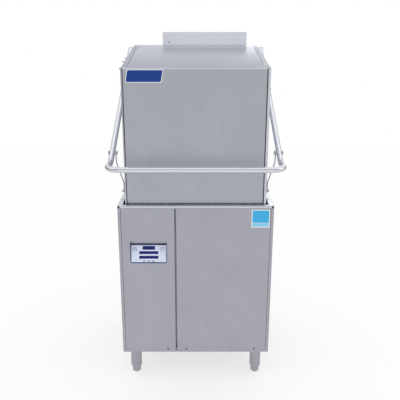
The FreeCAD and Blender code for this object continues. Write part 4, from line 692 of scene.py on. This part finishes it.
def make_surroundings(scene, settings):
    """White room for the eye; metal mirrors it with dimmer front and sides and a dark band high in front."""
    world = bpy.data.worlds.new("Studio")
    scene.world = world
    world.use_nodes = True
    tree = world.node_tree
    direction = add_node(tree, "ShaderNodeTexCoord").outputs["Generated"]
    parts = add_node(tree, "ShaderNodeSeparateXYZ", inputs={"Vector": direction})
    # Each soft step: the axis of the direction, where it starts and ends, and its two values.
    steps = (("Y", -0.1, -0.6, 0, 1), ("Y", 0.2, 0.7, 0, 1), ("Y", -0.1, -0.85, 1, settings.front_level),
             ("Z", 0.55, 0.15, 0, 1), ("X", -0.2, -0.8, 0, 1), ("X", 0.2, 0.8, 0, 1))
    ahead, behind, front, low, left, right = [
        add_node(tree, "ShaderNodeMapRange", {"interpolation_type": "SMOOTHSTEP"},
                 {"Value": parts.outputs[axis], "From Min": start, "From Max": end,
                  "To Min": first, "To Max": last})
        for axis, start, end, first, last in steps]
    height = add_node(tree, "ShaderNodeMapRange", inputs={"Value": parts.outputs["Z"], "From Min": -1.0})
    band, back = settings.band_level, settings.back_level
    shares = [front]
    # Levels by height, from 0 straight down to 1 straight up: in front of the machine, then behind it.
    for toward, levels in ((ahead, ((0.70, 1), (0.80, band), (0.88, band), (0.96, 1))),
                           (behind, ((0.50, 0.6), (0.66, back), (0.71, 0.95 * back), (0.80, 0.42 * back),
                                     (0.90, 0.7), (1.0, 1)))):
        ramp = add_node(tree, "ShaderNodeValToRGB", inputs={"Fac": height})
        stops = ramp.color_ramp.elements
        for stop, (place, level) in zip(stops, (levels[0], levels[-1])):
            stop.position = place
            stop.color = (level, level, level, 1)
        for place, level in levels[1:-1]:
            stops.new(place).color = (level, level, level, 1)
        shares.append(add_node(tree, "ShaderNodeMix", {"data_type": "FLOAT"},
                               {"Factor": toward, "A": 1.0, "B": ramp.outputs["Color"]}))
    for side, level in ((left, settings.left_level), (right, settings.right_level)):
        held = add_node(tree, "ShaderNodeMath", {"operation": "MULTIPLY"}, {0: side, 1: low})
        shares.append(add_node(tree, "ShaderNodeMapRange",
                               inputs={"Value": held, "To Min": 1.0, "To Max": level}))
    mirrored = shares[0]
    for share in shares[1:]:
        mirrored = add_node(tree, "ShaderNodeMath", {"operation": "MULTIPLY"}, {0: mirrored, 1: share})
    path = add_node(tree, "ShaderNodeLightPath")
    glossy = add_node(tree, "ShaderNodeMath", {"operation": "MAXIMUM"},
                      {0: path.outputs["Is Glossy Ray"], 1: path.outputs["Is Transmission Ray"]})
    lit = add_node(tree, "ShaderNodeMix", {"data_type": "FLOAT"},
                   {"Factor": glossy, "A": settings.sky_level, "B": mirrored})
    level = add_node(tree, "ShaderNodeMix", {"data_type": "FLOAT"},
                     {"Factor": path.outputs["Is Camera Ray"], "A": lit, "B": 1.0})
    background = tree.nodes["Background"].inputs
    background["Color"].default_value = (1, 1, 1, 1)
    tree.links.new(level.outputs[0], background["Strength"])


def make_lamps():
    """Soft boxes: one above the rear, and one at the right that draws the bright edges."""
    middle = Vector((0, 0, 0.9))
    # Each lamp: its name, its place and size in metres, and its power.
    for name, place, size, power in (("softbox_rear", (0.7, 1.9, 1.95), 0.8, 1.8),
                                     ("softbox_right", (3.0, -0.6, 1.7), 1.6, 2.0)):
        data = bpy.data.lights.new(name, "AREA")
        data.size = size
        data.energy = power
        lamp = new_piece(name, data)
        lamp.location = place
        lamp.rotation_euler = (middle - lamp.location).to_track_quat("-Z", "Y").to_euler()


def make_camera(scene, settings):
    """Camera in front of the machine that looks down on it."""
    data = bpy.data.cameras.new("camera")
    data.lens = settings.lens
    data.sensor_width = 36.0
    data.shift_x = settings.frame_shift
    camera = new_piece("camera", data)
    camera.location = (0, RIM_FRONT - settings.camera_distance, settings.camera_height)
    camera.rotation_euler = (math.pi / 2 - settings.camera_tilt, 0, 0)
    scene.camera = camera
    scene.view_settings.view_transform = "Standard"


# ---- pieces --------------------------------------------------------------------------

class DISHWASHER_OT_finishes(bpy.types.Operator):
    """Give every construction piece its finish"""
    bl_idname = "dishwasher.finishes"
    bl_label = "Finishes"

    def execute(self, context):
        for name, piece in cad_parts.items():
            piece.data.materials.clear()
            piece.data.materials.append(finish(FINISH_OF_NODE.get(name, DEFAULT_FINISH)))
        return {"FINISHED"}


class DISHWASHER_OT_sheets(bpy.types.Operator):
    """Round the edges of the folded sheets of the roof"""
    bl_idname = "dishwasher.sheets"
    bl_label = "Roof sheets"

    def execute(self, context):
        settings = context.scene.dishwasher_sheets
        flat, fold = math.radians(2), math.radians(40)
        for name in ("hood_top", "vent_panel"):
            bm = merged_copy(name)
            if name == "hood_top":
                near_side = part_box(name)[1].x - 0.1 * MM
                for vertex in bm.verts:
                    if abs(vertex.co.x) > near_side:
                        vertex.co.x += math.copysign(settings.roof_over, vertex.co.x)
            bmesh.ops.dissolve_limit(bm, angle_limit=flat, verts=bm.verts, edges=bm.edges)
            sharp = [e for e in bm.edges if len(e.link_faces) == 2 and e.calc_face_angle() > fold]
            bmesh.ops.bevel(bm, geom=sharp, offset=settings.edge, segments=settings.segments, profile=0.5,
                            affect="EDGES")
            put(bm, name + "_sheet", "root", FINISH_OF_NODE[name], name)
        return {"FINISHED"}


class DISHWASHER_OT_corner(bpy.types.Operator):
    """Carry the door skin further over the left post and narrow that post to suit"""
    bl_idname = "dishwasher.corner"
    bl_label = "Left door edge"

    def execute(self, context):
        settings = context.scene.dishwasher_sheets
        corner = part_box("door_front")[0]
        deepest = corner.y + 20 * MM
        # What moves left: the points between two distances in millimetres from the door's left edge.
        for name, node, body, start, end, shift in (
                ("door_skin", "door_front", "doors", 0, 8, settings.door_over),
                ("hood_corner_posts", "hood_posts", "root", -6, -3, settings.post_cut)):
            bm = merged_copy(node)
            for vertex in bm.verts:
                across = vertex.co.x - corner.x
                if start * MM - TOUCH <= across <= end * MM and vertex.co.y < deepest:
                    vertex.co.x -= shift
            put(bm, name, body, FINISH_OF_NODE.get(node, DEFAULT_FINISH), node)
        return {"FINISHED"}


class DISHWASHER_OT_door_edges(bpy.types.Operator):
    """Add the rolled top edge of the front door, the drip ledge under it and dark pile strips beside it that
    paint the gaps' shade
    """
    bl_idname = "dishwasher.door_edges"
    bl_label = "Door edges"

    def execute(self, context):
        settings = context.scene.dishwasher_sheets
        low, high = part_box("door_front")
        edge = 0.4 * MM
        radius = settings.bead
        left = low.x - settings.door_over
        inset, back, down = 1 * MM, 0.6 * radius, 0.3 * radius
        ends = [Vector((x, low.y + back, high.z - down)) for x in (left + inset, high.x - inset)]
        # The door's rolled edge takes the brighter sheet: its pale base is painted highlight on the door's own
        # steel.
        bead = grow("door_top_bead", path_mesh("bead_line", ends), tube_tree("Rolled edge"),
                    {"Radius": radius, "Sides": 16, "Material": finish("bright_sheet")})
        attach(bead, "doors")
        sheet, proud = 1.5 * MM, 3 * MM
        place = Vector((-high.x, low.y + settings.ledge - proud, low.z - settings.ledge_below))
        plate("drip_ledge", rectangle(2 * high.x, sheet), place, settings.ledge, "bright_sheet", "root", edge)
        # Dark pile strips beside the door: painted shade for the dark lines of the gaps.
        gap, behind, depth = 0.5 * MM, 8 * MM, 4 * MM
        strip = rectangle(settings.seal, high.z - low.z)
        for name, x in (("post_seal_left", left - settings.seal), ("post_seal_right", high.x + gap)):
            plate(name, strip, Vector((x, low.y + behind, low.z)), depth, "pile", "root", edge)
        return {"FINISHED"}


class DISHWASHER_OT_post_caps(bpy.types.Operator):
    """Close the open tops of the four posts along the slope of the roof"""
    bl_idname = "dishwasher.post_caps"
    bl_label = "Post caps"

    def execute(self, context):
        settings = context.scene.dishwasher_sheets
        door_low, door_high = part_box("door_front")
        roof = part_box("hood_top")[1]
        slope = (roof.z - door_high.z) / (roof.y - door_low.y)
        inner = roof.x + settings.cap_gap
        outer = inner + settings.cap_width
        front = door_low.y + settings.cap_start
        rear = roof.y + settings.cap_over
        top, bottom = 0.3 * MM, 1.8 * MM  # both below the slope of the roof
        for end, y0, y1 in (("front", front, front + settings.front_cap),
                            ("rear", rear - settings.rear_cap, rear)):
            for side, x0, x1 in (("left", -outer, -inner), ("right", inner, outer)):
                corners = [(x, y, door_high.z + slope * (y - door_low.y) - down) for down in (top, bottom)
                           for x, y in ((x0, y0), (x1, y0), (x1, y1), (x0, y1))]
                mesh = bpy.data.meshes.new("post_cap_" + end + "_" + side)
                mesh.from_pydata(corners, [], [(0, 1, 2, 3), (7, 6, 5, 4), (4, 5, 1, 0), (5, 6, 2, 1),
                                               (6, 7, 3, 2), (7, 4, 0, 3)])
                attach(new_piece(mesh.name, mesh, "brushed_across"), "root")
        return {"FINISHED"}


class DISHWASHER_OT_vent_hole_shade(bpy.types.Operator):
    """Put a black disc in the hole of the vent panel, painted shade for the dark hole"""
    bl_idname = "dishwasher.vent_plug"
    bl_label = "Vent plug"

    def execute(self, context):
        settings = context.scene.dishwasher_sheets
        low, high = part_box("vent_panel")
        plug = settings.plug
        wall, thick, edge = 1.5 * MM, 1 * MM, 0.3 * MM
        place = Vector((low.x + settings.plug_side - plug, high.y - wall,
                        high.z - settings.plug_down - plug))
        nearly_round = rounded_outline(2 * plug, 2 * plug, 0.99 * plug)
        # Black disc in the vent's hole: painted shade for the dark hole.
        plate("vent_plug", nearly_round, place, thick, "nylon", "root", edge)
        return {"FINISHED"}


class DISHWASHER_OT_handle(bpy.types.Operator):
    """Bend the handle tube round the front and both sides of the hood"""
    bl_idname = "dishwasher.handle"
    bl_label = "Handle"

    def execute(self, context):
        settings = context.scene.dishwasher_handle
        low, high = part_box("handle_tube")
        radius = settings.tube_radius
        side = high.x - radius
        level = low.z + radius - settings.sag
        right = [Vector((side, low.y + radius, level)),
                 Vector((side, RIM_FRONT + settings.bend_place, level)),
                 Vector((side - settings.toe_in, RIM_FRONT + settings.end_place, settings.end_height))]
        left = [Vector((-p.x, p.y, p.z)) for p in reversed(right)]
        bends = [0.0, settings.arm_bend, settings.corner_bend]
        path = path_mesh("handle_line", left + right, bends + bends[::-1])
        piece = grow("handle_bar", path, tube_tree("Bent tube", bent=True),
                     {"Radius": radius, "Sides": 48, "Bend steps": 20, "Material": finish("tube")})
        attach(piece, "handle")
        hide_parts("handle_tube")
        return {"FINISHED"}


class DISHWASHER_OT_springs(bpy.types.Operator):
    """Wind the two lift springs and bend their hooks"""
    bl_idname = "dishwasher.springs"
    bl_label = "Lift springs"

    def execute(self, context):
        settings = context.scene.dishwasher_springs
        low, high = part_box("lift_springs")
        radius = (high.y - low.y) / 2
        y = (low.y + high.y) / 2
        eye_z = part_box("spring_rods")[1].z - settings.eye_radius
        foot = eye_z + settings.eye_bore - settings.wire / 2
        top = high.z + settings.hole_above - settings.hole_radius + settings.wire / 2
        for side, name in ((1, "lift_spring_right"), (-1, "lift_spring_left")):
            line = spring_line(settings, side * (high.x - radius), y, radius - settings.wire / 2, low.z, high.z,
                               foot, top)
            piece = grow(name, path_mesh(name, line), tube_tree("Wire"),
                         {"Radius": settings.wire / 2, "Sides": 8, "Material": finish("spring_wire")})
            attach(piece, "root")
            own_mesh(piece)
        # One construction piece holds both springs, so one of these stands for it.
        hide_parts("lift_springs")
        return {"FINISHED"}


def spring_line(settings, x, y, radius, low, high, foot, top):
    """Line of one spring: lower hook, coil and upper hook, each hook in the plane across the machine."""
    hook = settings.hook_radius
    gap, hook_steps, coil_steps = 120, 16, 20  # degrees that a hook stays open; points round a hook and a turn
    start = low + settings.end_space
    rise = high - settings.end_space - start
    steps = coil_steps * settings.turns
    coil = arc(radius, 0, 360 * settings.turns, steps)
    lower, upper = arc(hook, gap, 360, hook_steps), arc(hook, 0, 360 - gap, hook_steps)
    return ([Vector((x + across, y, foot + hook + up)) for across, up in lower]
            + [Vector((x + across, y + along, start + rise * i / steps))
               for i, (across, along) in enumerate(coil)]
            + [Vector((x + across, y, top - hook + up)) for across, up in upper])


class DISHWASHER_OT_screws(bpy.types.Operator):
    """Set the screws of the panels and of the hood"""
    bl_idname = "dishwasher.screws"
    bl_label = "Screws"

    def execute(self, context):
        settings = context.scene.dishwasher_screws
        front, back = Vector((0, -1, 0)), Vector((0, 1, 0))
        left, right = Vector((-1, 0, 0)), Vector((1, 0, 0))
        panel = (settings.head_radius, settings.head_height, settings.recess)
        hood = (settings.small_radius, settings.side_height, settings.recess)
        low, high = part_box("panel_screws")
        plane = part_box("front_panel_left")[0].y
        middle = (low.z + high.z) / 2
        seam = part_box("front_panel_right")[0].x
        places = (low.x + settings.head_radius, seam + settings.beside_seam, high.x - settings.head_radius)
        heads = screws("front_screws", [(Vector((x, plane, middle)), front) for x in places], *panel, "root")
        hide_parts("panel_screws")
        low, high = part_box("rear_panel")
        start = low.z + settings.rear_end
        step = (high.z - settings.rear_end - start) / (settings.rear_rows - 1)
        rear = [(Vector((x, high.y, start + i * step)), back) for i in range(settings.rear_rows)
                for x in (low.x + settings.rear_side, high.x - settings.rear_side)]
        screws("rear_screws", rear, *panel, "root")
        # Sides of the hood: places behind the rim's front edge and above the floor, in millimetres.
        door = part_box("door_right")[1].x / MM
        post = door - 3  # a post's side lies this far inside the door's
        screws("post_screws", [(at(post, 59, 1360), right), (at(-post, 49, 1444), left)], *hood, "root")
        screws("door_screws", [(at(-door, 185, 1468), left), (at(-door, 258, 1481), left)], *hood, "doors")
        return {"FINISHED"}


class DISHWASHER_OT_badge(bpy.types.Operator):
    """Fix the plain blue badge to the front door"""
    bl_idname = "dishwasher.badge"
    bl_label = "Badge"

    def execute(self, context):
        settings = context.scene.dishwasher_badge
        low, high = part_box("door_front")
        place = Vector((low.x + settings.left, low.y, high.z - settings.top - settings.height))
        outline = rounded_outline(settings.width, settings.height, settings.corner, settings.lean)
        plate_edge, dome, dome_edge = 0.5 * MM, 0.6 * MM, 0.4 * MM
        plate("badge_plate", outline, place, settings.thick, "badge_edge", "doors", plate_edge)
        border = settings.border
        inner = rounded_outline(settings.width - 2 * border, settings.height - 2 * border,
                                settings.corner - border / 2, settings.lean)
        inset = place + Vector((border, -settings.thick, border))
        plate("badge_field", inner, inset, dome, "badge_blue", "doors", dome_edge)
        return {"FINISHED"}


class DISHWASHER_OT_label(bpy.types.Operator):
    """Lay the plain film label on the right front panel"""
    bl_idname = "dishwasher.label"
    bl_label = "Label"

    def execute(self, context):
        settings = context.scene.dishwasher_label
        low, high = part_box("front_panel_right")
        film, gap, border = 0.12 * MM, 1.6 * MM, settings.border
        outer_corner, inner_corner = 1.5 * MM, 0.8 * MM
        width = settings.width - 2 * border
        field = settings.height - 2 * border - settings.strip - gap
        place = Vector((high.x - settings.right - settings.width, low.y,
                        high.z - settings.top - settings.height))
        strip_place = place + Vector((border, -film, border))
        field_place = strip_place + Vector((0, 0, settings.strip + gap))
        for name, across, tall, corner, start, material in (
                ("label_film", settings.width, settings.height, outer_corner, place, "label_white"),
                ("label_strip", width, settings.strip, inner_corner, strip_place, "label_pale"),
                ("label_field", width, field, inner_corner, field_place, "label_blue")):
            plate(name, rounded_outline(across, tall, corner), start, film, material, "root")
        return {"FINISHED"}


class DISHWASHER_OT_keypad(bpy.types.Operator):
    """Print the border, the key outlines and the small symbols on the keypad"""
    bl_idname = "dishwasher.keypad"
    bl_label = "Keypad print"

    def execute(self, context):
        settings = context.scene.dishwasher_keypad
        low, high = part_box("keypad")
        across = Vector((1, 0, 0))
        up = Vector((0, settings.setback, settings.rise)).normalized()
        out = across.cross(up)
        foot = Vector(((low.x + high.x) / 2, low.y, high.z - settings.rise))
        width = high.x - low.x
        tall = math.hypot(settings.setback, settings.rise)
        ink = 0.08 * MM

        def lay(name, lines, material, body="root", height=ink):
            """Flat ribbons on the keypad: each line is its points, its width and whether it closes."""
            bm = bmesh.new()
            for points, thick, closed in lines:
                ribbon(bm, points, thick, closed)
            for vertex in bm.verts:
                x, s, lift = vertex.co
                vertex.co = foot + across * x + up * s + out * (height + lift)
            bmesh.ops.recalc_face_normals(bm, faces=bm.faces)
            put(bm, name, body, material)

        half, seal = settings.border / 2, settings.seal
        corner, key_corner = 4 * MM, 3 * MM
        outline = rounded_outline(width - 2 * half, tall - seal - 2 * half, corner)
        frame_line = [(x - width / 2 + half, s + half) for x, s in outline]
        # Black strip along the keypad's top: painted shade for the gap between the keypad and the recess above
        # it.
        shade_line = [(x, tall - seal / 2) for x in (-width / 2, width / 2)]
        lay("keypad_seal", [(shade_line, seal, False)], "rubber")
        lay("keypad_border", [(frame_line, settings.border, True)], "blue_ink")
        line = settings.line
        bold = 1.4 * line
        # Places of the small symbols, in millimetres from the keypad's middle.
        lay("keypad_symbols", [drawn for x, name in ((-20.5, "drop"), (0.0, "spray"), (20.0, "dial"))
                               for drawn in symbol(name, x * MM, settings.symbol_up, bold,
                                                   settings.symbol_stretch)], "blue_ink")
        size = 2 * settings.key_half - line
        square = rounded_outline(size, size, key_corner)
        for name in ("power", "start"):
            key_low, key_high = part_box(name + "_key")
            x = (key_low.x + key_high.x) / 2 - foot.x
            outline = [(x - size / 2 + a, settings.key_up - size / 2 + b) for a, b in square]
            lay(name + "_print", [(outline, line, True), *symbol(name, x, settings.key_up, line)],
                "pale_ink", name + "_key", settings.key_print)
        return {"FINISHED"}


# Symbols of the keypad: their lines in millimetres from the middle, and whether each line closes.
SYMBOLS = {
    "power": [(arc(4.0, 125, 415), False), ([(0, 1.2), (0, 5.2)], False)],
    "start": [([(-2.6, -3.8), (4.0, 0), (-2.6, 3.8)], True)],
    "drop": [([(0, 5.0)] + arc(2.9, 150, 390), True)],
    "spray": [([(0, -3.0), (x, 3.6)], False) for x in (-4.0, 0.0, 4.0)],
    "dial": [(arc(3.8, 0, 345, 20), True), ([(0, 0), (2.2, 2.2)], False)],
}


def symbol(name, x, up, thick, stretch=1.0):
    """Lines of a symbol round a place on the keypad, each with its width and whether it closes."""
    return [([(x + stretch * a * MM, up + b * MM) for a, b in points], thick, closed)
            for points, closed in SYMBOLS[name]]


def ribbon(bm, points, thick, closed):
    """Flat band of even width along a line of points in one plane."""
    total = len(points)
    pairs = []
    for i in range(total):
        before = points[i - 1] if i > 0 or closed else points[i]
        after = points[(i + 1) % total] if i < total - 1 or closed else points[i]
        run = Vector((after[0] - before[0], after[1] - before[1]))
        side = Vector((-run.y, run.x)).normalized() * thick / 2
        x, z = points[i]
        pairs.append([bm.verts.new((x + way * side.x, z + way * side.y, 0)) for way in (1, -1)])
    for i in range(total if closed else total - 1):
        a, b = pairs[i], pairs[(i + 1) % total]
        bm.faces.new((a[0], a[1], b[1], b[0]))


# ---- registration --------------------------------------------------------------------

GROUPS = {"dishwasher_stage": StageSettings, "dishwasher_colours": ColourSettings,
          "dishwasher_sheets": SheetSettings, "dishwasher_handle": HandleSettings,
          "dishwasher_springs": SpringSettings, "dishwasher_screws": ScrewSettings,
          "dishwasher_badge": BadgeSettings, "dishwasher_label": LabelSettings,
          "dishwasher_keypad": KeypadSettings}
OPERATORS = (DISHWASHER_OT_stage, DISHWASHER_OT_finishes, DISHWASHER_OT_sheets, DISHWASHER_OT_corner,
             DISHWASHER_OT_door_edges, DISHWASHER_OT_post_caps, DISHWASHER_OT_vent_hole_shade, DISHWASHER_OT_handle,
             DISHWASHER_OT_springs, DISHWASHER_OT_screws, DISHWASHER_OT_badge, DISHWASHER_OT_label,
             DISHWASHER_OT_keypad)


class DISHWASHER_PT_panel(bpy.types.Panel):
    bl_label = "Dishwasher"
    bl_idname = "DISHWASHER_PT_panel"
    bl_space_type = "VIEW_3D"
    bl_region_type = "UI"
    bl_category = "Dishwasher"

    def draw(self, context):
        for operator in OPERATORS:
            self.layout.operator(operator.bl_idname)
        for name, group in GROUPS.items():
            for setting in group.__annotations__:
                self.layout.prop(getattr(context.scene, name), setting)


def register():
    for cls in (*GROUPS.values(), *OPERATORS, DISHWASHER_PT_panel):
        bpy.utils.register_class(cls)
    for name, cls in GROUPS.items():
        setattr(bpy.types.Scene, name, PointerProperty(type=cls))


def unregister():
    for name in GROUPS:
        delattr(bpy.types.Scene, name)
    for cls in (DISHWASHER_PT_panel, *reversed(OPERATORS), *GROUPS.values()):
        bpy.utils.unregister_class(cls)


def main():
    register()
    for operator in OPERATORS:
        group, name = operator.bl_idname.split(".")
        getattr(getattr(bpy.ops, group), name)()


if __name__ == "__main__":
    main()
